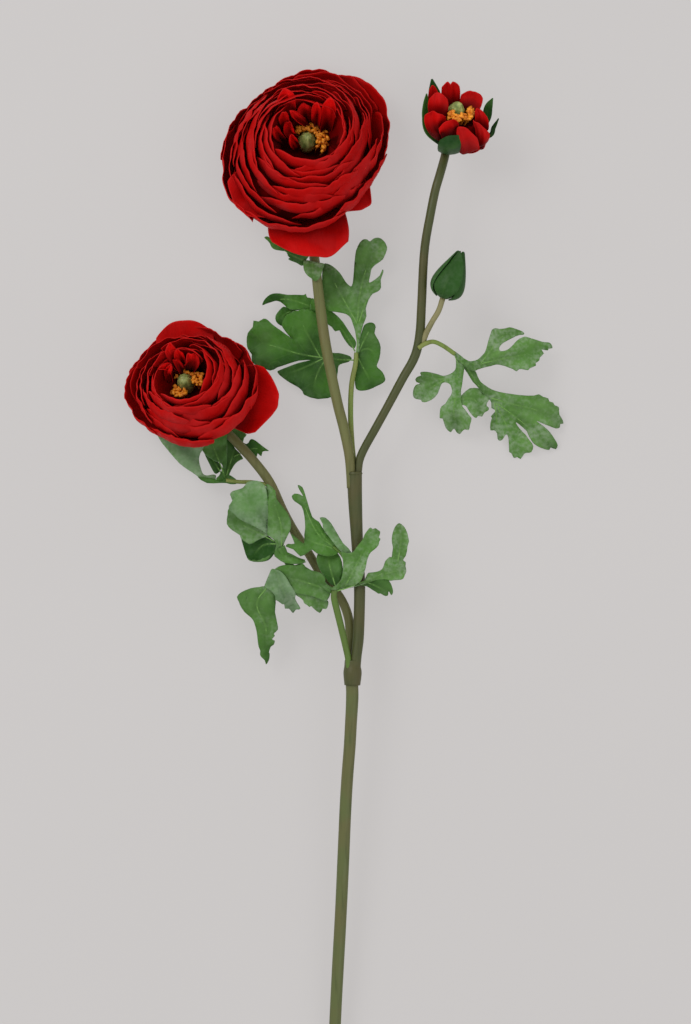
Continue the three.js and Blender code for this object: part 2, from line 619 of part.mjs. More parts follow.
// The solid heart that the petals' roots stand in, with the well sunk in its top.
function bloomCore() {
  const profile = [
    [0, 0.6],
    [9, 1.8],
    [24, 7],
    [33, 13],
    [36, 19],
    [33.5, 25],
    [28, 31.5],
    [21, 37],
    [17.4, 38],
    [14.4, FLOOR],
    [0, FLOOR],
  ];
  return lathe(profile, 12);
}

// A dish under a flower that carries its sepals.
function calyx(place, radius, sepals, ...clearances) {
  const profile = [[0, -3.2], [0.6 * radius, -3], [radius, -1.4], [radius, 0], [0, 0]];
  return cut(join([lathe(profile, 8, frameOf(place)), ...sepals]), ...clearances, BELOW_TABLE);
}

// Five pointed sepals that spread under a bloom's petals.
function spreadSepals(place, reach) {
  const line = [[2, -1.2], [0.5 * reach, -1.4], [0.8 * reach, -1.1], [reach, -0.6]];
  return SEPAL_TURNS.map((degrees) => {
    const turn = degrees * DEGREE;
    const point = petal({ turn, half: SEPAL_HALF_TURN, line, twist: 0.2, ruffle: 0 });
    return blade(point, 2, 2, { transform: frameOf(place) });
  });
}

// A ring on the floor of the well that carries the stamens.
function stamens(place, { inner, outer, floor, height, count, seed }) {
  const frame = frameOf(place);
  const foot = floor + GAP;
  const ring = [[inner, foot], [outer, foot], [outer - 0.4, foot + 1.4], [inner, foot + 1.4], [inner, foot]];
  const pieces = [lathe(ring, 8, frame)];
  for (let i = 0; i < count; i++) {
    const turn = (2 * Math.PI * (i + 0.3 * jitter(seed + i))) / count;
    const tall = height * (1 + 0.18 * jitter(seed + 40 + i));
    const lean = 0.2 + 0.12 * jitter(seed + 80 + i);
    const club = new THREE.CylinderGeometry(0.9, 0.45, tall, 3).translate(0, tall / 2, 0);
    club.rotateX(Math.PI / 2).rotateY(lean);
    club.translate((inner + outer) / 2, 0, foot + 0.6);
    pieces.push(solid(club.rotateZ(turn).applyMatrix4(frame)));
  }
  return largest(join(pieces));
}

// The seed head: a blunt dome with a waist.
function pistil(place, { radius, floor, height }) {
  const profile = [
    [0, 0],
    [0.82, 0],
    [1, 0.3],
    [0.95, 0.65],
    [0.62, 0.92],
    [0, 1],
  ];
  const scaled = profile.map(([r, h]) => [r * radius, floor + GAP + h * height]);
  return lathe(scaled, 8, frameOf(place));
}

// The opening bud: short crumpled petals that stand in a cup. Extra is what clearance round it adds.
function budPetals(extra = 0) {
  const cup = [
    [0, 0.5],
    [8, 1.8],
    [12.4, 8],
    [13, 14],
    [10.8, 19],
    [8.8, 20],
    [7, BUD_FLOOR],
    [0, BUD_FLOOR],
  ];
  const swollen = cup.map(([radius, height]) => [radius > 0 ? radius + extra : 0, height]);
  const sheets = OPENING_BUD.petals.map((rows) => {
    const wider = rows.map(([x, y, z, half]) => [x, y, z, half + extra]);
    return sheet(wider, BLADE + 2 * extra);
  });
  return largest(join([lathe(swollen, 8, frameOf(OPENING_BUD)), ...sheets]));
}

// The closed bud: four sepals wrapped round a core, drawn to a point.
function closedBud() {
  const frame = frameOf(CLOSED_BUD);
  const core = [
    [0, 0],
    [3.2, 0.4],
    [5, 5],
    [5.2, 11],
    [3.8, 17],
    [0, 21],
  ];
  const pieces = [lathe(core, 8, frame)];
  for (let i = 0; i < BUD_SEPAL_COUNT; i++) {
    const line = [[2.6, 0.8], [8.4, 1.2], [9.2, 14], [0.8 + 0.3 * i, 24]];
    const turn = (2 * Math.PI * (i + 0.4)) / BUD_SEPAL_COUNT;
    const point = petal({ turn, half: BUD_SEPAL_HALF_TURN, line, twist: 0.8, ruffle: 0 });
    pieces.push(blade(point, 2, 3, { transform: frame }));
  }
  return largest(join(pieces));
}

// Joints between stems. What meets an earlier stem is cut back by the gap.
const largeBloomStem = rod(LARGE_BLOOM_STEM, STEM_SIDES);
const roomForLarge = clearanceOf(LARGE_BLOOM_STEM, STEM_SIDES);
const budStem = cut(rod(BUD_STEM, STEM_SIDES), roomForLarge);
const roomForBud = clearanceOf(BUD_STEM, STEM_SIDES);
const roomForUpperLeaf = clearanceOf(UPPER_LEFT_LEAF.petiole, PETIOLE_SIDES);
const middleStem = cut(rod(MIDDLE_STEM, STEM_SIDES), roomForLarge, roomForBud, roomForUpperLeaf);
const roomForMiddle = clearanceOf(MIDDLE_STEM, STEM_SIDES);
const smallBloomStem = cut(rod(SMALL_BLOOM_STEM, STEM_SIDES), roomForMiddle);
const roomForSmall = clearanceOf(SMALL_BLOOM_STEM, STEM_SIDES);
const roomForLowerLeaf = clearanceOf(LOWER_LEAF.petiole, PETIOLE_SIDES);
const closedBudStem = cut(rod(CLOSED_BUD_STEM, STEM_SIDES), roomForBud);
const roomForClosedBud = clearanceOf(CLOSED_BUD_STEM, STEM_SIDES);
const mainStem = cut(
  join([rod(MAIN_STEM, STEM_SIDES), rod(LOWER_SOCKET, SOCKET_SIDES)]),
  roomForMiddle,
  roomForSmall,
  roomForLowerLeaf,
  BELOW_TABLE,
);

const finish = (color, roughness) => new THREE.MeshStandardMaterial({ color, roughness, metalness: 0 });
const STEM_GREEN = finish(0x6b7040, 0.5);
const LEAF_GREEN = finish(0x4d8a3a, 0.6);
const LEAF_PALE = finish(0x7d9c70, 0.6);
const PETAL_RED = finish(0xb80a10, 0.7);
const SEPAL_GREEN = finish(0x2f5a30, 0.6);
const BUD_GREEN = finish(0x4f7c4a, 0.6);
const STAMEN_ORANGE = finish(0xcf8226, 0.7);
const PISTIL_GREEN = finish(0x748a48, 0.6);

const spray = new THREE.Group();

function add(name, body, material) {
  const mesh = new THREE.Mesh(geometryOf(body), material);
  mesh.name = name;
  spray.add(mesh);
}

add("main_stem", mainStem, STEM_GREEN);
add("middle_stem", middleStem, STEM_GREEN);
add("large_bloom_stem", largeBloomStem, STEM_GREEN);
add("small_bloom_stem", smallBloomStem, STEM_GREEN);
add("bud_stem", budStem, STEM_GREEN);
add("closed_bud_stem", closedBudStem, STEM_GREEN);

add("right_leaf", leaf(RIGHT_LEAF, roomForBud, roomForClosedBud, BELOW_TABLE), LEAF_GREEN);
add("upper_left_leaf", leaf(UPPER_LEFT_LEAF, roomForLarge, roomForBud), LEAF_GREEN);
add("back_leaf", leaf(BACK_LEAF, roomForSmall), LEAF_PALE);
add("lower_leaf", leaf(LOWER_LEAF, roomForMiddle, roomForSmall), LEAF_GREEN);
add("bract_leaf", leaf(BRACT_LEAF, roomForLarge), LEAF_GREEN);

add("large_bloom_petals", bloomPetals(LARGE_BLOOM), PETAL_RED);
const largeStamens = { inner: 5, outer: 9.4, floor: FLOOR, height: 8, count: 12, seed: 11 };
const largeSepals = spreadSepals(LARGE_BLOOM, 13);
add("large_bloom_stamens", stamens(LARGE_BLOOM, largeStamens), STAMEN_ORANGE);
add("large_bloom_pistil", pistil(LARGE_BLOOM, { radius: 4.5, floor: FLOOR, height: 11 }), PISTIL_GREEN);
add("large_bloom_calyx", calyx(LARGE_BLOOM, 6, largeSepals, roomForLarge), SEPAL_GREEN);

const smallFloor = FLOOR * SMALL_BLOOM.deep;
add("small_bloom_petals", bloomPetals(SMALL_BLOOM), PETAL_RED);
const smallStamens = { inner: 4.2, outer: 7, floor: smallFloor, height: 7, count: 10, seed: 23 };
const smallSepals = spreadSepals(SMALL_BLOOM, 11);
add("small_bloom_stamens", stamens(SMALL_BLOOM, smallStamens), STAMEN_ORANGE);
add("small_bloom_pistil", pistil(SMALL_BLOOM, { radius: 3.7, floor: smallFloor, height: 11 }), PISTIL_GREEN);
add("small_bloom_calyx", calyx(SMALL_BLOOM, 5, smallSepals, roomForSmall), SEPAL_GREEN);

add("bud_petals", budPetals(), PETAL_RED);
const budStamens = { inner: 3, outer: 5, floor: BUD_FLOOR, height: 8, count: 7, seed: 61 };
add("bud_stamens", stamens(OPENING_BUD, budStamens), STAMEN_ORANGE);
add("bud_pistil", pistil(OPENING_BUD, { radius: 2.6, floor: BUD_FLOOR, height: 10 }), PISTIL_GREEN);
const budSepals = calyx(
  OPENING_BUD,
  4.4,
  OPENING_BUD.sepals.map((rows) => sheet(rows)),
  roomForBud,
  budPetals(GAP),
);
add("bud_sepals", budSepals, SEPAL_GREEN);

add("closed_bud", closedBud(), BUD_GREEN);

export default spray;
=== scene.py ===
"""A persian buttercup spray laid on its back on a pale floor: two open blooms, an opening bud,
a closed bud, five lobed leaves and forked stems. Rows are in millimetres, with +Z up.
"""

from math import cos, floor, pi, radians, sin, sqrt

import bmesh
import bpy
from bpy.props import FloatProperty, FloatVectorProperty, IntProperty, PointerProperty
from bpy.types import Operator, Panel, PropertyGroup
from mathutils import Matrix, Vector, noise


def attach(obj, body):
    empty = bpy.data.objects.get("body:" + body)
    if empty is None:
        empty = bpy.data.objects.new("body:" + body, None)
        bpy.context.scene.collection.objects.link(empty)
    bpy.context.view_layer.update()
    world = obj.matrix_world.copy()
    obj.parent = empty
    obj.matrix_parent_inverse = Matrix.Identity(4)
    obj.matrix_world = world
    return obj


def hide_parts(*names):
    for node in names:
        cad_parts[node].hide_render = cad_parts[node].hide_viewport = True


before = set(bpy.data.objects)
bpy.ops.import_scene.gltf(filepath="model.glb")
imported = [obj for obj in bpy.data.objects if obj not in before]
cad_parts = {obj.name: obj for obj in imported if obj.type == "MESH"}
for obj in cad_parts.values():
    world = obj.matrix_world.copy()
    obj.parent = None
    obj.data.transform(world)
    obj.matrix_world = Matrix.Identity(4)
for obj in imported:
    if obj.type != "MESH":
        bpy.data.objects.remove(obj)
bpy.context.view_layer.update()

bl_info = {
    "name": "Persian buttercup spray",
    "version": (1, 0, 0),
    "blender": (4, 5, 0),
    "location": "View3D > Sidebar > Buttercup",
    "description": "Builds the petals, leaves, stems and buds of a persian buttercup spray",
    "category": "Add Mesh",
}

MM = 0.001
UP = Vector((0, 0, 1))

# Stems, root first. A row is [x, y, z, radius]. The lower socket's last rows turn its lip inwards.
MAIN_STEM = [
    [-7.4, -275, 2.9, 3], [-4.4, -202, 8.5, 3], [-1.2, -140, 12.5, 3], [1, -90, 16, 3], [3.1, -60, 18, 3],
    [4.1, -40, 19, 3.1], [4, -31, 19.4, 3.2],
]
LOWER_SOCKET = [
    [4.2, -33, 19.4, 4], [4.3, -27, 19.5, 4.6], [4.3, -23.5, 19.5, 4.15], [4.4, -20.6, 19.5, 4.0],
    [4.35, -22.6, 19.5, 3.4],
]
MIDDLE_STEM = [
    [5.4, -29, 20.3, 2.7], [5.9, -20, 20.5, 2.8], [7.2, -8, 20.5, 2.8], [7.85, 14, 20.5, 2.85],
    [7.1, 30, 20.5, 2.9], [6.3, 45, 20.5, 3.1], [5.5, 62, 20.5, 3.6], [5.4, 74, 20.5, 3.65],
]
LARGE_BLOOM_STEM = [
    [3.6, 66, 21, 2.2], [3.3, 74, 21, 2.3], [2.4, 84, 21, 2.5], [-0.3, 97, 20.5, 2.6], [-3.8, 111, 20, 2.6],
    [-9.4, 139, 19, 2.65], [-12.5, 161.5, 18, 2.6], [-14.2, 176, 17.3, 2.5], [-16, 190, 13, 2.5],
    [-18, 203, 7, 2.5], [-19.8, 214, 3.3, 2.4], [-20.9, 225.8, 2.7, 2.3],
]
SMALL_BLOOM_STEM = [
    [3.6, -26, 17.8, 2.2], [3.1, -14, 16.8, 2.3], [2.4, 0, 16, 2.3], [-2, 11, 15.5, 2.3], [-11, 22, 15, 2.3],
    [-19, 35, 14.5, 2.3], [-25.5, 45, 14, 2.3], [-31, 55, 13.3, 2.4], [-37.5, 69, 12, 2.4],
    [-46, 80.3, 10.8, 2.4], [-54.5, 89.5, 8.2, 2.4], [-62.5, 97.5, 5.4, 2.4], [-70.9, 106.4, 4.8, 2.3],
]
BUD_STEM = [
    [6.9, 66, 19.8, 2], [7.1, 75, 19.8, 2], [8.8, 83, 20, 2.1], [16.4, 97, 21, 2.1], [23, 109, 22, 2.15],
    [29.4, 121, 23, 2.2], [35.5, 132, 23.5, 2.3], [38, 143, 24, 2.3], [38.9, 158, 24.5, 2.25],
    [40.3, 185, 25, 2.2], [43.4, 203.6, 25.2, 2.2], [45.8, 215.4, 24.6, 2.2], [48, 223, 23.2, 2.2],
    [50.4, 231.5, 18.6, 2.2], [51.9, 238.3, 14.8, 2.1],
]
CLOSED_BUD_STEM = [
    [39.3, 137.5, 24.3, 1.3], [40.9, 143, 25, 1.5], [44.2, 149.4, 26, 1.4], [47.4, 154.8, 27, 1.4],
    [49.5, 161.2, 27.5, 1.4],
]
# The ring at the mouth of the upper socket
COLLAR = [[5.45, 72.4, 20.5, 3.55], [5.4, 73.2, 20.5, 3.95], [5.4, 74.2, 20.5, 3.6]]

# Leaves. A petiole's row is [x, y, z, radius] and a lobe's is [x, y, z, half width], root first.
RIGHT_LEAF = {
    "petiole": [
        [37.2, 136, 26.4, 1.1], [40.5, 138.2, 26.2, 1.2], [44.8, 139.3, 25.5, 1.1], [49.7, 137.3, 24, 1.1],
        [55.6, 133.3, 22.3, 1.1],
    ],
    "lobes": [
        [[54.8, 134, 22.3, 1], [57.6, 130.8, 21.8, 1.9], [61, 127.8, 21, 2.2], [65.8, 128.6, 20.5, 1.6]],
        [[60.3, 128.2, 21, 1.6], [66, 128.4, 20.6, 1.7], [70.3, 128.7, 20, 1.6]],
        [[68.5, 128.4, 20.2, 1.5], [74.3, 136, 18, 3.4], [79.6, 142.4, 15, 4.8], [90.6, 145.4, 11, 2.2]],
        [[68.5, 128.4, 20.2, 1.5], [79.5, 131, 18, 3.4], [91.4, 133.4, 14, 7.8], [105.4, 137.2, 10, 2.2]],
        [[60.5, 128.6, 21, 1.4], [64.3, 123, 18.5, 2], [67.8, 117.6, 15.5, 2.1], [76.8, 109, 12, 3]],
        [[74, 111.5, 13, 2.4], [85, 108.4, 10.5, 5], [97, 105.6, 7, 7.4], [110.6, 99.8, 2.6, 5.4]],
        [[77.5, 108.5, 12, 2.4], [88.5, 100.5, 8.5, 4.4], [98.4, 92.6, 4.5, 4.6], [107.4, 85.2, 0.2, 2.8]],
        [[76.5, 109, 12, 2.2], [81.5, 99, 8, 3.4], [86, 90, 4, 5.4], [88.6, 81.6, 0.3, 3.6]],
        [[75.8, 109, 12, 2], [76.8, 102.5, 10, 3.4], [77.4, 96.5, 7, 3.8], [78.6, 90, 4, 1]],
        [[55.4, 133.4, 22, 1.2], [57.4, 127.3, 20, 1.9], [56.8, 120.5, 17.5, 1.9], [56.2, 109, 14, 2]],
        [[57.4, 121, 17.5, 1.5], [50, 120.9, 16.8, 1.7], [42.5, 121.4, 15.5, 2.9], [36.4, 120.8, 14, 1.7]],
        [[51, 120.6, 16.8, 1.6], [45.5, 117.6, 15.5, 3.6], [41.4, 114.6, 14, 4.6], [37.4, 110.8, 12.4, 2.8]],
        [[56.3, 112.5, 14.8, 1.8], [55.2, 105.6, 13, 6.2], [56, 100.4, 10, 7.4], [57.2, 94, 6, 4.2]],
        [[56.2, 109.6, 14.4, 1.6], [61.2, 111.4, 13.6, 3.8], [66.6, 110, 12, 6], [69.4, 102.6, 9.4, 3.6]],
    ],
}
UPPER_LEFT_LEAF = {
    "petiole": [
        [5.4, 68, 18.2, 1.3], [5.2, 76, 17.6, 1.4], [4, 88, 16, 1.4], [3.3, 103, 14, 1.35],
        [3.8, 118, 12.4, 1.3], [5.8, 128.6, 11.4, 1.25], [6.2, 134.4, 11, 1.1],
    ],
    "lobes": [
        [[5.6, 130.6, 11.2, 1.2], [-1.5, 130.9, 10.2, 2.2], [-7, 131.5, 9.6, 2.4], [-12.6, 131.9, 9, 2.4]],
        [[-10, 131.8, 9.2, 2.2], [-23, 134, 8, 5.6], [-36, 138, 6, 13], [-48.8, 141, 4, 9.5]],
        [[-11.5, 131.5, 9, 2.2], [-15.8, 139, 10, 6.6], [-20, 147, 11, 9.6], [-22, 154.2, 10, 6]],
        [[-9.5, 132, 9.2, 2.4], [-18, 128, 8, 4.4], [-25.4, 125, 6.6, 4.6], [-32.6, 123.9, 5, 0.9]],
        [[-8.5, 132, 9.2, 3.4], [-12.8, 125.4, 8, 9.8], [-15, 118.4, 6.4, 10.4], [-15, 110, 4.4, 5.4]],
        [[5.6, 135, 11, 1.1], [2.2, 141, 10.6, 1.7], [-2.4, 147.8, 10, 2], [-9, 153, 9.4, 1.8]],
        [[-7.8, 152.2, 9.4, 1.6], [-19, 158.6, 9, 3.4], [-31, 161.6, 8.4, 2.6], [-41.4, 158.2, 7, 1]],
        [[-18, 157, 8.4, 1.8], [-27, 155.4, 7, 2.6], [-31.6, 152.2, 5.6, 2.4], [-32, 148.6, 4.6, 1.4]],
        [[6.3, 133.4, 11, 1.1], [6.7, 140, 11.4, 1.6], [6.7, 147, 11.8, 2.4], [7.2, 154, 12, 3]],
        [[6.8, 150, 12, 2.2], [8, 164, 12, 4.4], [11.8, 178.6, 11, 6.2], [17.4, 192, 10, 6.6]],
        [[6.6, 149, 12, 2.2], [1.6, 158, 12, 7], [-4, 168, 12, 9], [-10, 180.6, 11, 5]],
        [[7.4, 149, 12, 1.8], [10.8, 159.4, 12.4, 3.2], [14.6, 166, 12.6, 3.4], [18.8, 172, 12, 0.8]],
        [[6.8, 133.4, 11, 1.3], [9.6, 139.6, 11.4, 3], [12, 144.2, 11.4, 3.2], [13.5, 148, 11, 1.8]],
        [[6.8, 134.2, 11, 1.3], [11.2, 136.6, 10.4, 4.2], [14.8, 134.8, 9.6, 4.4], [16.4, 128.8, 8.4, 2.6]],
        [[6.6, 132.6, 11, 1.3], [9.6, 127, 10, 4.8], [12.6, 121.4, 8.6, 7], [13.4, 116, 7, 5.2]],
    ],
}
BACK_LEAF = {
    "petiole": [[-37.5, 67.5, 12, 1], [-46, 69, 11.6, 1], [-53, 69.2, 11, 1], [-59.5, 70, 10.6, 1]],
    "lobes": [
        [[-52.5, 69.2, 11, 1], [-56, 70.4, 11, 2.2], [-59.5, 70.6, 10.6, 1.4]],
        [[-58.6, 70.2, 10.6, 1.5], [-69.5, 75.6, 9.6, 3.4], [-77.6, 83.6, 8.6, 5.6], [-86, 92.6, 8, 5]],
        [[-60.4, 72.4, 10.4, 1.4], [-63.6, 81, 10, 3.4], [-66, 87, 9, 4], [-67.4, 93.4, 8, 2.6]],
        [[-59.8, 71, 10.2, 1.5], [-57.4, 79, 7.6, 4], [-55.6, 85.4, 5.4, 4.6], [-54, 92.4, 4, 3]],
        [[-61.6, 73, 9.6, 1], [-65.4, 79, 7.4, 2.6], [-68.8, 84.6, 6, 2.4], [-71, 89.4, 5, 1.4]],
        [[-55.6, 82, 6.4, 1.8], [-49.6, 85, 4.6, 2.8], [-44.6, 86.2, 4.2, 3], [-39.8, 84.4, 4, 1.2]],
    ],
}
LOWER_LEAF = {
    "petiole": [
        [2.6, -25, 21.6, 1.5], [1.8, -18, 22.2, 1.6], [-1.4, -4, 24, 1.7], [-3.5, 4.5, 24.6, 1.7],
        [-5, 11, 24.6, 1.6], [-4.6, 15.4, 24.6, 1.5], [-0.4, 20.6, 25.2, 1.4], [1.6, 27, 25.6, 1.4],
        [-1.2, 33, 25.4, 1.3], [-5.4, 36.6, 25, 1.2],
    ],
    "lobes": [
        [[-4.6, 13.6, 24.4, 1.8], [-15, 17.4, 22, 6], [-26, 20.4, 21, 7.2], [-37, 21, 20.6, 4]],
        [[-33.4, 22.4, 21.4, 2.4], [-31, 15.4, 23, 5.4], [-28, 9.6, 21.4, 4.2], [-25.6, 4.2, 18.4, 2.2]],
        [[-13, 14.6, 22, 5], [-14.2, 10.8, 20.6, 5.6], [-13.6, 7.8, 19.4, 4.4], [-12.4, 4, 17.6, 2.4]],
        [
            [-35.6, 19, 20.6, 3], [-44, 8.4, 18.6, 9.2], [-39.6, -3, 15, 6], [-39.2, -12, 12, 4.2],
            [-38.6, -22, 9, 1.2],
        ],
        [[-6, 14.4, 24, 1.4], [-16, 21, 20.8, 1.4], [-26.4, 26.4, 19.6, 1.6], [-31.6, 36.4, 21, 1.9]],
        [[-31, 34, 20.8, 1.9], [-37.6, 46.6, 22, 8.4], [-44.6, 56.4, 22, 12], [-51.6, 66.6, 20, 8]],
        [[-31.4, 35, 20.8, 1.8], [-31.4, 46, 22, 4.8], [-34.2, 56, 22.4, 4.2], [-37.4, 66.6, 21, 1.8]],
        [[-34.4, 39, 20.6, 1.4], [-43.4, 43.6, 19.4, 3.6], [-50.4, 47.2, 18.4, 4.8], [-57.4, 51.6, 17, 3.2]],
        [[-32.6, 38, 20.4, 2], [-40, 37.6, 17, 5.6], [-44.4, 33.6, 15.6, 5.4], [-45.2, 29.4, 14, 3]],
        [[-30.4, 32.4, 20.2, 2], [-26.8, 30.6, 20, 2.2], [-23.4, 29.6, 20, 1.6], [-19.6, 29.4, 20, 0.6]],
        [[-4.6, 36, 25, 1.8], [-13, 43, 24.6, 3.2], [-18.6, 54, 25.2, 2.8], [-23.2, 67.4, 25, 0.7]],
        [[-4.4, 35.4, 25, 1.8], [-11, 37.6, 25, 4.4], [-17, 39.6, 24, 3.2], [-26, 45.4, 22, 0.8]],
        [[-5.4, 36.4, 25, 1.6], [-10, 41.8, 25, 2.8], [-14, 47.6, 24.4, 2.4], [-16.4, 53, 23.4, 1]],
        [[1.2, 32.4, 25.4, 1.4], [-3, 41, 26, 2], [-8, 48.6, 26, 2], [-12.8, 51.8, 25, 1]],
        [[-4, 16, 24.2, 1.8], [-6.6, 24.6, 23, 5.4], [-8, 31.4, 22.4, 6.2], [-8.6, 37, 22, 3.4]],
        [[0.4, 16.6, 25.2, 2.2], [5, 25, 27, 4.4], [9.6, 34.6, 28, 4.4], [15, 44.4, 27, 3]],
        [
            [-4.6, 14.2, 24.8, 1.6], [3, 16.4, 25.6, 1.8], [12.6, 20.4, 25.4, 1.9], [20.4, 23.8, 24, 1.7],
            [28, 30.4, 22, 1.5],
        ],
        [[27, 29, 22.2, 1.4], [28.2, 36.6, 21.6, 3.4], [28.4, 42, 21, 4.2], [27.4, 48, 20, 1.8]],
        [[18.6, 22.8, 24, 1.4], [24, 23.8, 23, 3.4], [28.2, 25, 22, 4], [31, 25.4, 21, 2.8]],
        [[9.6, 19.4, 25.2, 1], [15, 17.4, 24, 2.6], [19.6, 15, 22.6, 3.2], [23, 12.6, 21, 1.6]],
    ],
}
BRACT_LEAF = {
    "petiole": None,
    "lobes": [
        [[-15, 178.4, 20, 1.6], [-22, 181, 20.4, 2.6], [-28.6, 184.4, 21, 2.3], [-39, 190.8, 22, 1]],
        [[-16, 180.6, 20, 3.2], [-15.8, 176, 21.4, 4.6], [-15.3, 172.6, 21.8, 4], [-15, 169.6, 21.6, 2]],
        [[-15.4, 178.4, 20, 2], [-12.4, 178.6, 20, 1.8], [-9.6, 178.3, 20, 0.9]],
    ],
}
# How many rows of the lower leaf's petiole run free. From the last of them on, it is a thin rib.
FREE_ROWS = 6

# The photo's camera, in millimetres, and the height at which a view's scale holds
EYE_X, EYE_Y, EYE_Z = 0.75, 54, 2163.3
READ_LEVEL = 30
# The views that the blades' outlines were read from: the photo and two enlarged parts of it.
# Each is the place of its left and top edge in millimetres, and its pixels to a millimetre.
PHOTO = (-172, 310, 2)
UPPER_VIEW = (-56, 197.5, 12)
LOWER_VIEW = (-66, 79, 10.4)
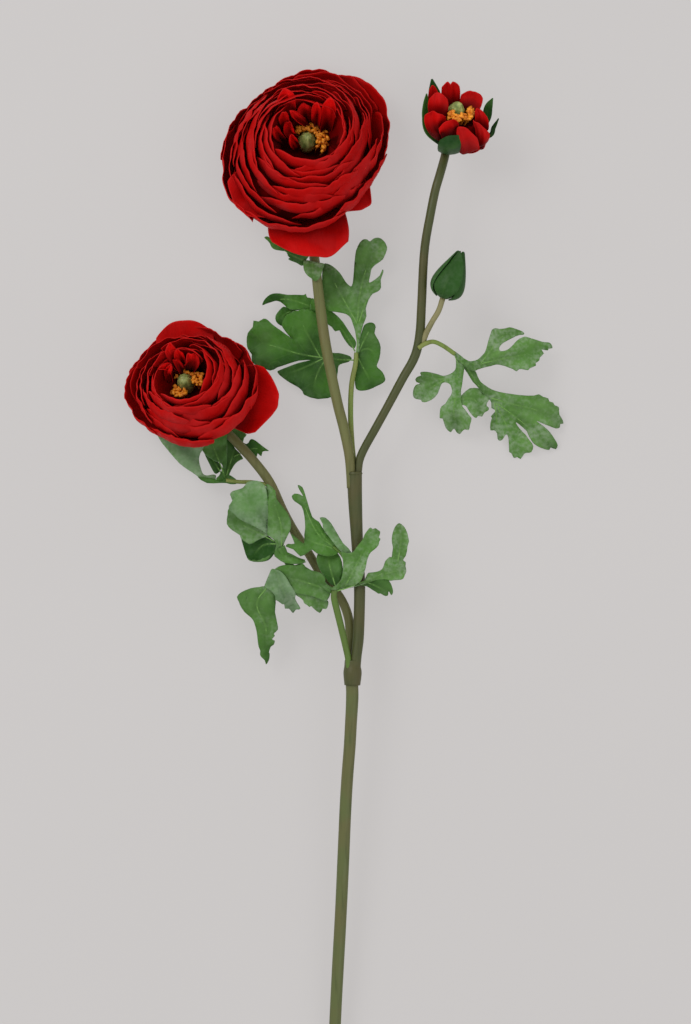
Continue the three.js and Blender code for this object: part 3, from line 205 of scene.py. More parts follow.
# Blades of the leaves: the lobes whose lines give a blade its heights and ribs, its shade from light
# to dark, 1 where its underside is up, its view, and the points of its outline in that view's pixels.
BLADES = {
    "right_leaf": (
        ((0, 1, 2, 3), 0.12, 0, PHOTO, (
            (453.5, 350.5), (457, 353), (461, 356), (465, 359), (469, 361), (473, 361), (478, 359.5),
            (482, 356), (485, 352), (487, 346), (489, 339), (491, 333), (492.5, 329.5), (496, 328.3),
            (500, 328.8), (505, 328.5), (510, 327.5), (516, 329), (521, 331), (524, 333), (523.5, 334.5),
            (519, 335), (514, 337), (508, 340), (503, 343), (500, 346), (499, 348.5), (500, 351), (504, 351),
            (509, 349), (513, 345), (516, 341.5), (520, 338.5), (525, 337), (530, 338), (536, 340),
            (543, 342), (548, 342.5), (551, 344), (552.5, 348), (548.5, 348.5), (548, 350.3), (541.5, 349.5),
            (543.8, 353.5), (540, 357), (539.3, 360.5), (535.5, 363), (535.8, 365.8), (530, 368), (528, 370),
            (523.5, 369.3), (519, 369), (516.5, 371), (513, 369), (509, 367.5), (505, 366), (500, 364.8),
            (496, 364.5), (491, 366), (484, 367.5), (478, 369.5), (474, 371), (469, 369), (464, 366),
            (459, 361), (455.5, 356),
        )),
        ((4, 5, 6, 7, 8), 0.2, 0, PHOTO, (
            (462, 364), (464, 368), (467, 372), (470, 377), (473, 382), (477, 386), (481, 391), (485, 395),
            (489, 399), (491.5, 403), (491.5, 408), (495, 410), (495, 412), (491, 416.5), (492, 418),
            (490.5, 423), (490.5, 430), (494, 430), (497, 433), (497.5, 438.5), (500, 440.5), (503, 439),
            (505, 435.5), (506.5, 434.5), (508.5, 437), (509, 443), (509.5, 452), (511.5, 453), (514, 458),
            (517, 457), (520.5, 459), (524, 454), (527, 452.5), (531.5, 452), (533, 446), (530, 441),
            (525, 434), (520, 429), (515.5, 422.5), (518, 423.5), (522, 426.5), (527, 431), (529, 436),
            (533, 442.5), (538, 446.5), (544, 449), (549, 450), (550.5, 447.5), (555.5, 449), (557.5, 445),
            (555, 440), (550, 433), (544, 427), (536.5, 421), (541, 422.8), (549, 426), (556, 428.5),
            (559.5, 427.5), (560, 424), (563.5, 423.5), (562, 419), (559.5, 415), (559, 411), (558.5, 407),
            (554.5, 405.5), (553, 402.5), (549, 401.5), (548, 398.5), (543, 397), (538.5, 394.5),
            (533, 395.8), (524, 395.5), (512, 394), (500, 392), (492, 389.5), (486, 386), (481, 382),
            (478, 377), (476, 372), (472, 368), (467, 364),
        )),
        ((9, 10, 11, 12), 0.1, 0, PHOTO, (
            (455.5, 355.5), (456, 360), (456, 366), (455, 370), (452, 373), (448, 375), (443, 376),
            (438, 374.5), (432, 373), (427, 372), (422, 372), (420, 373), (421, 375.5), (417, 377),
            (415.5, 379.5), (416.5, 382), (420, 383.5), (416, 385), (414, 388), (413, 393), (413.5, 397),
            (416, 399), (421, 400), (422, 401.8), (426, 402), (431, 400), (435, 397), (438, 393), (440, 387),
            (442, 383.5), (445, 382.5), (449, 383.5), (451, 386), (452, 391), (451, 395), (448, 399),
            (445, 404), (441, 407), (440, 411), (439.5, 418), (442.5, 418.5), (444, 423), (446, 428),
            (450, 432), (451.8, 430.5), (453.8, 428.5), (456, 431), (459.5, 434), (462, 431.5), (465, 429.5),
            (468.5, 430), (469.5, 426), (471, 421), (471, 418), (469, 415), (466, 411), (463, 407.5),
            (462, 405), (461, 400), (461, 394), (461, 390), (462, 385), (463, 378), (464, 370), (464, 366),
            (459, 361),
        )),
        ((13,), 0.02, 0, PHOTO, (
            (459, 399), (462, 405), (463.5, 405), (466, 406), (468, 409), (470, 412.5), (473, 416),
            (476, 418), (478, 416), (482, 416.5), (484, 413), (488, 410.5), (488.8, 408), (486.5, 406),
            (487, 403), (489, 400), (488, 397), (484, 394), (481, 390), (478, 388.5), (474, 388),
            (470, 388.5), (466, 391), (463, 394), (460, 397),
        )),
    ),
    "upper_left_leaf": (
        ((0, 1, 2, 3, 4), 0.72, 0, UPPER_VIEW, (
            (130, 575), (160, 580), (190, 563), (215, 572), (245, 600), (300, 640), (345, 672), (368, 690),
            (335, 655), (312, 625), (300, 600), (308, 565), (330, 538), (350, 530), (372, 515), (395, 515),
            (420, 503), (445, 508), (460, 505), (490, 522), (515, 530), (530, 560), (540, 620), (555, 690),
            (575, 740), (605, 768), (640, 768), (690, 780), (718, 798), (700, 822), (665, 830), (640, 845),
            (635, 880), (628, 930), (625, 1020), (515, 1045), (435, 1020), (425, 1000), (400, 975),
            (365, 955), (330, 935), (290, 905), (272, 882), (285, 872), (340, 850), (400, 828), (475, 810),
            (400, 815), (330, 835), (270, 855), (228, 872), (140, 838), (118, 812), (118, 775), (95, 742),
            (88, 700), (95, 650), (125, 612),
        )),
        ((6,), 0.8, 0, UPPER_VIEW, (
            (183, 480), (190, 455), (212, 430), (245, 413), (285, 412), (330, 420), (380, 418), (432, 420),
            (442, 412), (452, 435), (485, 445), (495, 520), (470, 514), (430, 507), (390, 508), (345, 506),
            (315, 480), (290, 460), (262, 455), (235, 462), (205, 472),
        )),
        ((7,), 0.95, 0, UPPER_VIEW, (
            (385, 500), (345, 500), (310, 490), (285, 510), (262, 545), (265, 580), (290, 602), (312, 602),
            (315, 563), (337, 542), (372, 521),
        )),
        ((5,), 0.6, 0, UPPER_VIEW, (
            (480, 440), (520, 465), (565, 500), (600, 520), (630, 545), (665, 582), (700, 635), (735, 685),
            (745, 712), (735, 738), (712, 732), (685, 700), (660, 660), (645, 632), (620, 638), (600, 612),
            (578, 598), (565, 575), (540, 545), (505, 525), (470, 510),
        )),
        ((8, 9, 10, 11), 0.3, 0, UPPER_VIEW, (
            (548, 245), (560, 230), (590, 240), (625, 265), (655, 300), (680, 340), (700, 362), (715, 370),
            (725, 350), (730, 290), (735, 220), (745, 155), (765, 108), (788, 88), (810, 88), (828, 100),
            (848, 82), (878, 76), (905, 90), (925, 120), (930, 145), (905, 205), (865, 235), (838, 262),
            (828, 305), (822, 345), (850, 332), (885, 305), (903, 268), (908, 285), (892, 330), (893, 375),
            (875, 398), (845, 412), (818, 450), (802, 505), (806, 548), (790, 590), (775, 640), (768, 700),
            (762, 760), (752, 765), (748, 700), (738, 635), (725, 590), (712, 558), (685, 535), (640, 525),
            (600, 520), (570, 512), (552, 480), (545, 400), (540, 300),
        )),
        ((12, 13, 14), 0.62, 0, UPPER_VIEW, (
            (785, 620), (798, 597), (825, 585), (850, 590), (862, 612), (855, 650), (878, 690), (892, 735),
            (885, 800), (872, 835), (872, 855), (900, 880), (920, 925), (905, 948), (870, 965), (820, 988),
            (775, 995), (745, 982), (738, 930), (740, 860), (748, 800), (758, 735), (770, 675),
        )),
    ),
    "bract_leaf": (
        ((0,), 0.6, 0, PHOTO, (
            (264.3, 237.6), (267, 236.4), (273, 239), (284, 241), (296, 245), (306, 250), (310, 254),
            (306, 260), (304, 265), (301, 265.5), (297, 263.2), (291, 260.8), (288.3, 259), (289.8, 257.6),
            (288, 256), (286.2, 251.6), (283, 251), (279, 250.4), (274.5, 249.4), (271.4, 247), (269.6, 243),
            (267, 240),
        )),
        ((1, 2), 0.25, 0, UPPER_VIEW, (
            (430, 212), (470, 215), (520, 225), (555, 232), (545, 260), (535, 300), (520, 325), (498, 338),
            (478, 322), (450, 300), (432, 270), (428, 240),
        )),
    ),
    "lower_leaf": (
        # Painted shadow: this first outline, the hollow inside the fold, has the darkest tone
        ((8,), 1, 0, PHOTO, (
            (241, 534), (250, 533), (260, 533), (267, 535), (272, 539), (276, 543), (277, 548), (274, 554),
            (270, 559), (266, 561), (258, 561.5), (250, 560.5), (247, 557), (244, 549),
        )),
        ((8,), 0.3, 0, PHOTO, (
            (247.5, 557), (249, 551), (256, 549.5), (263, 546), (269, 541.5), (274, 543), (276.5, 548),
            (274, 553), (271, 553), (270, 557), (266, 561), (258, 562), (250, 560.8),
        )),
        ((7,), 0.2, 0, PHOTO, (
            (229, 508), (227.5, 515), (227, 524), (232, 530), (240, 535), (241, 538), (249, 544), (256, 541),
            (262, 538), (268, 536), (270, 531), (262, 524), (250, 516), (238, 510),
        )),
        ((5,), 0.05, 1, LOWER_VIEW, (
            (185, 105), (215, 97), (250, 102), (275, 125), (285, 150), (290, 200), (295, 260), (290, 330),
            (290, 375), (265, 360), (220, 335), (180, 315), (140, 295), (115, 270), (90, 250), (90, 225),
            (105, 200), (95, 170), (110, 150), (150, 140), (170, 125),
        )),
        ((6,), 0.35, 0, LOWER_VIEW, (
            (280, 118), (300, 120), (330, 150), (335, 190), (370, 235), (395, 270), (410, 310), (408, 350),
            (385, 400), (370, 440), (375, 470), (400, 490), (440, 500), (490, 520), (440, 530), (380, 525),
            (340, 500), (322, 480), (333, 440), (328, 410), (298, 385), (288, 370), (292, 260), (288, 180),
        )),
        ((1,), 0.12, 1, PHOTO, (
            (272, 569), (280, 571), (286, 577), (290, 584), (294, 590), (296, 594), (295, 598), (297, 603),
            (300, 608), (299, 609.5), (296, 609.5), (293, 613), (291, 611), (288.5, 608.5), (285, 608.5),
            (284.5, 604.5), (282, 604), (278, 601), (275.5, 599.5), (275, 596), (271, 591), (266, 588),
            (264.5, 586), (266, 582), (268, 577), (270, 572),
        )),
        ((2,), 0.2, 0, PHOTO, (
            (292, 588), (301, 592), (308, 594), (316, 594), (322, 598), (327, 600), (328.5, 603),
            (327.5, 607), (326, 609), (323, 608.5), (321.5, 611), (319.5, 612.8), (316.5, 611), (313, 608),
            (311, 606), (309.5, 607), (307, 605), (304, 603), (303, 600), (299.5, 597), (296, 595),
        )),
        ((0,), 0.35, 0, PHOTO, (
            (268, 577), (273, 571), (278, 567), (284, 565), (290, 564.5), (296, 565), (302, 563), (306, 567),
            (311, 570), (317, 571.5), (322, 573.5), (325.5, 578), (325, 582), (328, 585), (330.5, 590),
            (330, 595), (328, 599), (326, 601), (322, 600), (315, 597), (308, 595.5), (300, 594), (295, 592),
            (290, 586), (285, 577), (280, 573), (274, 574), (270, 580),
        )),
        ((3,), 0.4, 0, PHOTO, (
            (237, 596.8), (241.3, 592.4), (250, 588.5), (258.7, 587), (265.3, 586.3), (271.8, 590.3),
            (275, 593.5), (275.7, 603.3), (275, 612), (277.2, 622.9), (277.9, 629.4), (274, 633.7),
            (275, 635.9), (271.8, 639.2), (274.6, 640.7), (274, 644.2), (270.7, 646.8), (269, 652.2),
            (269.6, 653.3), (269.3, 658.5), (268, 662), (266, 664.5), (264.5, 660), (261.5, 657.5),
            (260, 654.5), (260.3, 651), (258.7, 646.8), (257.7, 640.3), (256.6, 631.6), (254.4, 622.9),
            (251, 617.5), (244.6, 612), (240.3, 605.5), (239.2, 602.2),
        )),
        ((10, 11, 12), 0.55, 0, LOWER_VIEW, (
            (415, 180), (430, 165), (460, 170), (475, 178), (452, 140), (447, 120), (470, 130), (485, 170),
            (500, 220), (520, 285), (555, 310), (570, 335), (600, 380), (640, 400), (660, 440), (650, 480),
            (600, 490), (545, 475), (520, 455), (500, 470), (460, 490), (425, 455), (385, 440), (395, 425),
            (430, 425), (410, 375), (440, 395), (478, 425), (480, 380), (485, 340), (480, 280), (465, 230),
            (430, 205),
        )),
        ((13,), 0, 1, LOWER_VIEW, (
            (560, 290), (590, 290), (620, 320), (650, 370), (680, 420), (710, 450), (725, 480), (690, 480),
            (650, 445), (610, 390), (580, 350), (575, 320),
        )),
        ((14,), 0.6, 0, LOWER_VIEW, (
            (545, 490), (560, 470), (610, 465), (650, 470), (675, 520), (680, 590), (660, 640), (620, 640),
            (590, 600), (560, 560), (545, 520),
        )),
        ((15,), 0.15, 0, PHOTO, (
            (353, 552), (356, 548), (360, 543), (363, 539), (365, 534), (368, 530), (370.5, 527.5),
            (372.5, 529), (375.5, 528.2), (378, 530), (380, 531.5), (379.5, 535), (379, 537.5), (380.3, 539),
            (379, 542), (378.5, 545), (375, 549), (371, 552), (368.5, 556), (367, 561), (366, 566),
            (364.5, 571), (363, 576), (360, 582), (352, 586), (345, 588), (336, 590), (330, 589), (336, 585),
            (341, 580), (343, 570), (343, 560), (341, 552), (347, 553),
        )),
        ((16, 17, 18), 0.08, 0, PHOTO, (
            (350, 588), (362, 583), (366, 577), (368, 573), (372, 572.5), (378, 571.5), (382, 569),
            (384, 565), (385.5, 561), (388, 558), (390, 557), (391.8, 557), (392.5, 552), (393, 548),
            (392, 543), (391.8, 538), (393, 532), (395, 527), (397.5, 524), (400, 523.5), (403, 525.5),
            (405.5, 529), (407.5, 534), (408.5, 539), (409, 541.5), (407.5, 546), (407, 551), (405.5, 556),
            (403, 560), (405.5, 562.5), (405.5, 566), (406.3, 571), (405, 574.5), (403.5, 578), (401, 579.5),
            (395, 580), (390, 580.5), (387, 579.5), (380, 579.5), (372, 581.5), (365, 584),
        )),
        ((19,), 0.4, 0, PHOTO, (
            (356, 584.5), (368, 582), (376, 580), (384, 579), (388, 580), (390.5, 583), (392, 587),
            (393, 591), (392.5, 594), (391.3, 595), (390, 593), (389, 591.5), (388.3, 592), (388, 595),
            (386.5, 596), (384, 595.5), (380.5, 593.5), (378.5, 593.8), (376, 592), (372, 589.5), (366, 586),
        )),
    ),
    "back_leaf": (
        ((1,), 0.02, 1, PHOTO, (
            (158, 436), (162, 443), (168, 450), (173, 456), (178, 462), (184, 467), (190, 471), (196, 475),
            (201, 479), (206, 481), (214, 481), (216, 476), (213, 474.5), (207, 475.5), (203, 474),
            (201, 469), (199.5, 463), (199, 458), (200.5, 453), (203, 449), (206, 440), (205, 430),
            (195, 426), (180, 425), (165, 427), (156, 430),
        )),
        ((4,), 0.95, 0, PHOTO, (
            (200, 440), (203, 449.5), (206, 457), (209.5, 464), (212.5, 470), (215, 473.5), (218, 473),
            (220.5, 470), (221, 467), (219, 463), (215.5, 459), (212, 452), (210, 445), (208, 438),
        )),
        ((2,), 0.45, 0, PHOTO, (
            (203, 430), (201, 446), (205, 454), (211, 458.5), (216, 461.5), (219, 462), (221, 463.5),
            (222.5, 466), (221.5, 471), (219, 476), (216, 479), (222, 481), (226, 478), (226, 470),
            (227, 460), (227, 448), (227, 438), (226, 430), (215, 426),
        )),
        ((3,), 0.5, 0, PHOTO, (
            (227, 430), (226, 445), (225, 460), (224, 472), (222, 480), (227, 481), (230, 473), (233, 467),
            (236, 463), (240, 460), (243, 458.5), (241, 455), (239, 452), (236, 449.5), (234, 446),
            (240, 445), (243, 442), (244, 438), (246.5, 435), (242, 431), (237, 425), (230, 428),
        )),
        ((5,), 0.85, 0, PHOTO, (
            (236, 440), (246.5, 444), (249.5, 440.5), (252, 439), (256, 441), (261, 445), (265, 448),
            (269, 451), (265, 451), (262.5, 452), (261.5, 456), (259, 454.5), (257.5, 453.5), (256.5, 457),
            (253, 455), (250, 451), (246, 450), (238, 448),
        )),
        ((0,), 0.5, 0, PHOTO, (
            (198, 477), (207, 483), (220, 483), (226, 483), (230, 484), (236, 484), (237.5, 481), (233, 477),
            (229, 475), (226, 477), (220, 480), (210, 478),
        )),
    ),
}

# Blooms. The base is the back of the bloom, and the axis points out of its face.
# A layer's number is how many petals it has, from the well outwards. The mouth is how far the
# well's rim is off the axis, and reach is what the outermost rim adds to its radius at twelve
# turns, anticlockwise from the right. A petal's row is [x, y, z, half width], foot first, and fold,
# cup, pleats, notch, crumple, roll and rounding are what the function sheet says.
LARGE_BLOOM = {
    "base": (-20.9, 228, 6.1),
    "axis": (0.04, 0.36, 0.932),
    "wide": 1,
    "deep": 1,
    "seed": 3,
    "layers": (4, 4, 5, 5, 5, 5, 6, 6, 6, 6),
    "mouth": (0.4, -0.6),
    "reach": (-2.5, 2.8, 3.6, 0, -4.7, -5.4, -2.4, 2, 3.5, 1.4, -3.8, -6),
    "open": (
        {
            "rows": [
                [-19.5, 221, 13.5, 11], [-18.8, 209, 17, 18], [-18, 198.6, 24, 20.2], [-17, 190.6, 31, 19.2],
                [-14.2, 181, 36, 14.5],
            ],
            "fold": 180, "cup": -0.12, "pleats": 1.6,
        },
        {
            "rows": [[-10, 224, 13, 8], [0, 217, 16, 10], [6.2, 212.2, 21, 9.4], [12, 206.8, 26, 5.6]],
            "cup": 0.12, "pleats": 0.8,
        },
        {
            "rows": [
                [-36, 219, 25, 11], [-42.4, 213, 29, 15], [-47.6, 208, 34.5, 15.4], [-50.6, 204.4, 40, 12],
            ],
            "cup": 0.3, "pleats": 1.6,
        },
    ),
    "heart": (
        [[-14.2, 247.5, 30, 1.6], [-13.8, 252, 36, 2.5], [-13.7, 257.6, 43, 2.3]],
        [[-9, 245, 28, 2.6], [-7.8, 252, 36, 3.6], [-7.2, 259, 45, 3.4]],
        [[-18.6, 247.8, 28, 1.4], [-22.6, 250.6, 34, 2], [-27.4, 254, 42, 1.4]],
        [[-19, 250, 26, 3.4], [-19.5, 254, 32, 4], [-20, 258, 37, 3.4]],
        [[-27, 250, 26, 2.6], [-28.5, 257, 36, 4.4], [-28.4, 263.4, 46, 4.2]],
        [[-28.4, 245, 28, 1.6], [-30, 250, 36, 2.5], [-30.2, 253.6, 44, 2.2]],
        [[-25, 241, 26, 1.8], [-27.4, 244, 32, 2.6], [-27.6, 247.8, 38, 2.4]],
        [[-23.4, 236, 26, 1.6], [-25.2, 238.6, 32, 2.3], [-26.6, 242, 38, 2]],
        [[-31, 240, 28, 1.6], [-33.4, 242.6, 35, 2.2], [-34.6, 245.4, 41, 2]],
    ),
}
SMALL_BLOOM = {
    "base": (-71.9, 108.2, 7.8),
    "axis": (-0.25, 0.42, 0.873),
    "wide": 0.8,
    "deep": 0.85,
    "seed": 47,
    "layers": (4, 4, 4, 5, 5, 5, 6),
    "mouth": (1.1, -3.4),
    "reach": (0, -1.6, -3.6, -1.4, -0.4, 0.2, -0.4, -5.4, -9.6, -8.4, -5.8, -2.6),
    "open": (
        {
            "rows": [
                [-74, 122, 14, 9], [-78.4, 131, 9, 13], [-80.4, 141, 8.5, 14.6], [-81.4, 150.8, 12, 12],
            ],
            "cup": 0.1, "pleats": 1.2,
        },
        {
            "rows": [
                [-68, 111, 15, 8], [-58, 110.4, 15, 13], [-48, 110.6, 17, 17], [-41, 110.2, 20.5, 16.6],
                [-33, 109, 23.5, 11],
            ],
            "cup": 0.2, "pleats": 2.2,
        },
    ),
    "heart": (
        [[-84, 128, 26, 1.8], [-86, 132.6, 34, 2.8], [-87, 138, 41, 2.5]],
        [[-82, 127, 24, 2], [-82, 130.6, 31, 2.6], [-83.4, 134.6, 38, 2.2]],
        [[-77, 126, 25, 2.4], [-75.8, 129.4, 31, 3.6], [-76.4, 133, 37, 3.2]],
        [[-86, 124.6, 25, 1.6], [-88.6, 126.4, 31, 2], [-92.4, 125.8, 37, 1.4]],
        [[-87.4, 119.4, 25, 1.6], [-88, 123.6, 31, 1.8], [-86, 127.4, 37, 1.4]],
        [[-81, 124.4, 24, 1.4], [-82.6, 127.6, 29, 1.8], [-84.6, 130.4, 34, 1.4]],
    ),
}
OPENING_BUD = {"base": (53.2, 241.6, 17), "axis": (0.24, 0.6, 0.763), "wide": 1, "deep": 1}
CLOSED_BUD = {"base": (49.6, 161.6, 27.8), "axis": (0.35, 0.935, 0.06), "wide": 1, "deep": 1}

# Painted sheen: where pale patches on the petals stand for the light that their satin catches, and how far
# off it starts and ends to fade, in metres
SHEEN_SPOTS = ((-0.033, 0.214, 0.034), (-0.088, 0.112, 0.024))
SHEEN_REACH = (0.008, 0.019)

# The opening bud's petals and sepals
BUD_PETALS = (
    {
        "rows": [[54, 250, 20, 2.2], [53.8, 257, 24, 4.1], [53.4, 263.8, 28.5, 4.7], [53.2, 269.1, 32, 4]],
        "notch": 0.06, "rounding": 0.16,
    },
    {
        "rows": [[59.6, 249, 21, 2.6], [62, 255, 25, 4.8], [63.7, 260, 29, 5.6], [64.2, 264.1, 32, 5]],
        "rounding": 0.2,
    },
    {
        "rows": [[44.8, 252, 25, 2.6], [45.3, 257, 29, 3.4], [44.6, 262.6, 33, 2.6], [44, 266.8, 35.5, 0.9]],
        "rounding": 0.1, "tone": 0.9,
    },
    {
        "rows": [[48.4, 245, 28, 3], [47.2, 251.4, 34, 4.7], [46.9, 257.2, 38, 5], [46.9, 262.8, 40, 3.4]],
        "cup": -0.3, "rounding": 0.2, "crumple": 1.8,
    },
    {
        "rows": [
            [51, 241, 28, 2.6], [47.4, 244.4, 34, 4.6], [45.6, 248.6, 38, 5.4], [45.6, 252.6, 40.6, 4.8],
        ],
        "cup": -0.2, "rounding": 0.2, "crumple": 2.6,
    },
    {
        "rows": [[54.2, 240, 30, 3.8], [52.8, 243.8, 37, 5.2], [51.4, 248.2, 41.4, 4.6]],
        "cup": -0.3, "rounding": 0.25, "crumple": 2.4,
    },
    {
        "rows": [
            [58, 240.5, 20, 2.6], [60.6, 234.4, 22.5, 4.6], [62.2, 234, 30, 5.2], [61.4, 239.6, 38, 5.2],
            [58.8, 245.8, 41.5, 4.6],
        ],
        "fold": -9, "cup": -0.35, "rounding": 0.2, "crumple": 2.2,
    },
    {
        "rows": [[62, 240, 24, 2], [67.2, 238.4, 28, 3], [68.4, 242.4, 34, 3.9], [65.6, 248.4, 39, 3.9]],
        "fold": -25, "cup": -0.4, "rounding": 0.25, "crumple": 2,
    },
    {
        "rows": [[63.4, 246, 26, 2.8], [68.4, 246, 29, 3.6], [68.8, 250.6, 34, 3.6], [67, 255, 37, 2.4]],
        "fold": -22, "rounding": 0.2, "crumple": 0.8,
    },
    {
        "rows": [[61, 240, 20, 1.8], [68, 237.8, 23, 2.3], [70.4, 241, 27, 2.4], [71.2, 245, 30, 1.5]],
        "fold": -64, "rounding": 0.2,
    },
    {
        "rows": [[57, 240.4, 20, 1.6], [61.4, 236.6, 20.4, 2], [65.2, 236.8, 22, 2.4], [68.6, 239, 25, 2]],
        "rounding": 0.1,
    },
)
BUD_SEPALS = (
    {"rows": [[49, 246, 19, 3], [46.8, 256, 25, 4.2], [45, 264, 30, 2.8], [43.9, 270, 34, 0.3]], "cup": 0.3},
    {
        "rows": [
            [49.4, 239.4, 17, 2.2], [43, 245.4, 23, 3.4], [41.2, 252.4, 28, 2.9], [41, 258.6, 32, 1.8],
            [41.2, 262.8, 33.6, 0.3],
        ],
        "roll": -40,
    },
    {
        "rows": [[62, 243, 20, 1.4], [70.4, 250, 24, 2.4], [72.4, 256.6, 29, 2.1], [74.3, 260.6, 32, 0.3]],
        "roll": 25,
    },
    {
        "rows": [[60, 240.5, 17.5, 1.2], [72.7, 243, 19, 1.2], [75.2, 247, 22, 1.1], [77.4, 251, 26, 0.25]],
        "roll": 20,
    },
    {
        "rows": [
            [53, 241.2, 16.4, 2.6], [53.4, 234.4, 18.6, 4.6], [53.8, 233.8, 26, 6.6],
            [54.4, 236.6, 34.4, 7.2], [54.6, 241.4, 39.4, 5.4],
        ],
        "fold": 3, "cup": -0.3, "rounding": 0.14,
    },
)

# Open blooms: the radius of the well and of the last rim, how far the standing layers spread past
# the well, how high the first rim stands, how much lower the last one is, and how much of its
# neighbours' turn each petal covers
WELL_RADIUS = 18.8
BLOOM_RADIUS = 42
STANDING = 21.5
RIM_TOP = 46
RIM_DROP = 22
OVERLAP = 1.42
# How much narrower a petal is at its foot
TAPER = 0.65
# How far above the base the seed heads and stamens stand
WELL_FLOOR = 18
BUD_FLOOR = 13
# Turned bodies, as [radius, height]: the bloom under its petals, the opening bud and the closed bud
BLOOM_CORE = [
    [0, 1.5], [12, 2.5], [26, 7], [33, 12], [35.5, 17], [34, 22], [30, 27], [25, 31], [18.6, 31],
    [15, 18], [8, 16.6], [0, 16.6],
]
BUD_CUP = [[0, 0.5], [7, 1.6], [11, 7], [11.6, 12], [10.4, 16.5], [8.6, 17.5], [7, 13], [0, 13]]
CLOSED_BUD_CORE = [[0, 0], [3.2, 0.4], [5, 5], [5.2, 11], [3.8, 17], [0, 21]]

# The lowest that a surface lies
TABLE = 0.3
# Blades: the size of their cells, how far the dust reaches in from their margins, the shortest line
# that has a rib, how much of the line the rib covers, and how wide a blade a map holds
CELL = 2.2
DUST_REACH = 7
SHORTEST_RIB = 14
RIB_REACH = 0.72
MAP_WIDTH = 40
# Farther than any two places of a blade
FAR = 1000

# Colours that no setting gives
SHADED_STEM = (0.056, 0.068, 0.018, 1)
SHADED_STREAK = (0.085, 0.07, 0.022, 1)
OLIVE_STEM = (0.135, 0.143, 0.046, 1)
PALE_STEM = (0.24, 0.22, 0.1, 1)
DARK_STALK = (0.09, 0.15, 0.025, 1)
CHALK = (0.36, 0.44, 0.33, 1)
SEPAL_GREEN = (0.045, 0.12, 0.03, 1)
BUD_SEPAL_GREEN = (0.014, 0.06, 0.011, 1)
CLOSED_BUD_GREEN = (0.04, 0.115, 0.026, 1)
SEED_HEAD = (0.4, 0.46, 0.15, 1)
SEED_HEAD_SHADE = (0.15, 0.21, 0.05, 1)
ANTHER = (0.95, 0.38, 0.025, 1)
ANTHER_SHADE = (0.6, 0.16, 0.008, 1)
PETAL_SHEEN = (1, 0.2, 0.2, 1)
DAYLIGHT = (1, 0.99, 0.98, 1)
PAPER_GLOW = (1, 0.962, 0.952, 1)


# Settings that a user would change


def colour(name, description, value):
    return FloatVectorProperty(
        name=name, description=description, default=value, size=4, min=0, max=1, subtype="COLOR"
    )


def length(name, description, value):
    return FloatProperty(
        name=name, description=description, default=value, min=0.0001, unit="LENGTH", subtype="DISTANCE"
    )


class SPRAY_PG_petals(PropertyGroup):
    """The cloth of the petals."""

    red: colour("Red", "Colour of the lit face of a petal", (0.48, 0.003, 0.0025, 1))
    # Painted shade: a petal's red turns to deep red towards its foot
    deep_red: colour("Deep red", "Colour towards the foot of a petal", (0.3, 0.0006, 0.0008, 1))
    rim: colour("Rim", "Colour of a petal's cut edge", (0.52, 0.01, 0.009, 1))
    # Painted sheen: the colour of the pale patches that stand for light caught by the satin
    bloom_sheen: colour("Sheen patches", "Colour of the pale worn patches", (0.42, 0.05, 0.055, 1))
    thickness: length("Thickness", "Thickness of a petal", 0.00032)
    ruffle: length("Ruffle", "Height of the waves along a petal's rim", 0.0011)


class SPRAY_PG_leaves(PropertyGroup):
    """The blades of the leaves."""

    light: colour("Light green", "Colour of a light blade's upper face", (0.122, 0.262, 0.062, 1))
    green: colour("Green", "Colour of the freshest patches", (0.075, 0.235, 0.02, 1))
    dark: colour("Dark green", "Colour of the dark blades", (0.014, 0.065, 0.006, 1))
    vein: colour("Veins", "Colour of the ribs and veins", (0.17, 0.34, 0.08, 1))
    under: colour("Underside", "Colour of a blade's lower face", (0.16, 0.27, 0.13, 1))
    thickness: length("Thickness", "Thickness of a blade", 0.0005)


class SPRAY_PG_stems(PropertyGroup):
    """The moulded stems."""

    green: colour("Green", "Colour of the stems", (0.098, 0.12, 0.036, 1))
    brown: colour("Brown", "Colour of the browner streaks", (0.135, 0.1, 0.04, 1))
    petiole: colour("Leaf stalks", "Colour of the leaf stalks", (0.2, 0.235, 0.055, 1))
    sides: IntProperty(name="Sides", description="Sides of a stem", default=20, min=6, max=64)


class SPRAY_PG_stage(PropertyGroup):
    """The floor, the lights and the camera."""

    floor: colour("Floor", "Colour of the floor", (0.178, 0.174, 0.172, 1))
    key: FloatProperty(name="Main light", description="Power of the main light", default=20, unit="POWER")
    fill: FloatProperty(name="Fill light", description="Power of the fill light", default=8, unit="POWER")
    sky: FloatProperty(name="Sky", description="Strength of the light from all round", default=0.72)
    camera_height: length("Camera height", "Height of the camera above the floor", EYE_Z * MM)


# Lines and surfaces


def jitter(seed):
    """An even scatter from -1 to 1, the same on every run."""
    wave = sin(seed * 12.9898) * 43758.5453
    return 2 * (wave - floor(wave)) - 1


def ease(low, high, x):
    """0 below low, 1 above high and smooth between them."""
    t = min(max((x - low) / (high - low), 0), 1)
    return t * t * (3 - 2 * t)


def cubic(a, b, c, d, f):
    """The smooth run from b to c, with a before and d after them, at f from 0 to 1."""
    start, stop = (c - a) / 2, (d - b) / 2
    bend = 2 * b - 2 * c + start + stop
    return bend * f**3 + (3 * c - 3 * b - 2 * start - stop) * f**2 + start * f + b


def spline(rows):
    """A smooth line through rows of numbers, read at t from 0 to 1."""
    ends = [Vector(row) for row in rows]
    ends = [2 * ends[0] - ends[1], *ends, 2 * ends[-1] - ends[-2]]
    spans = len(rows) - 1

    def at(t):
        s = min(max(t, 0), 1) * spans
        i = min(int(s), spans - 1)
        return cubic(*ends[i : i + 4], s - i)

    return at


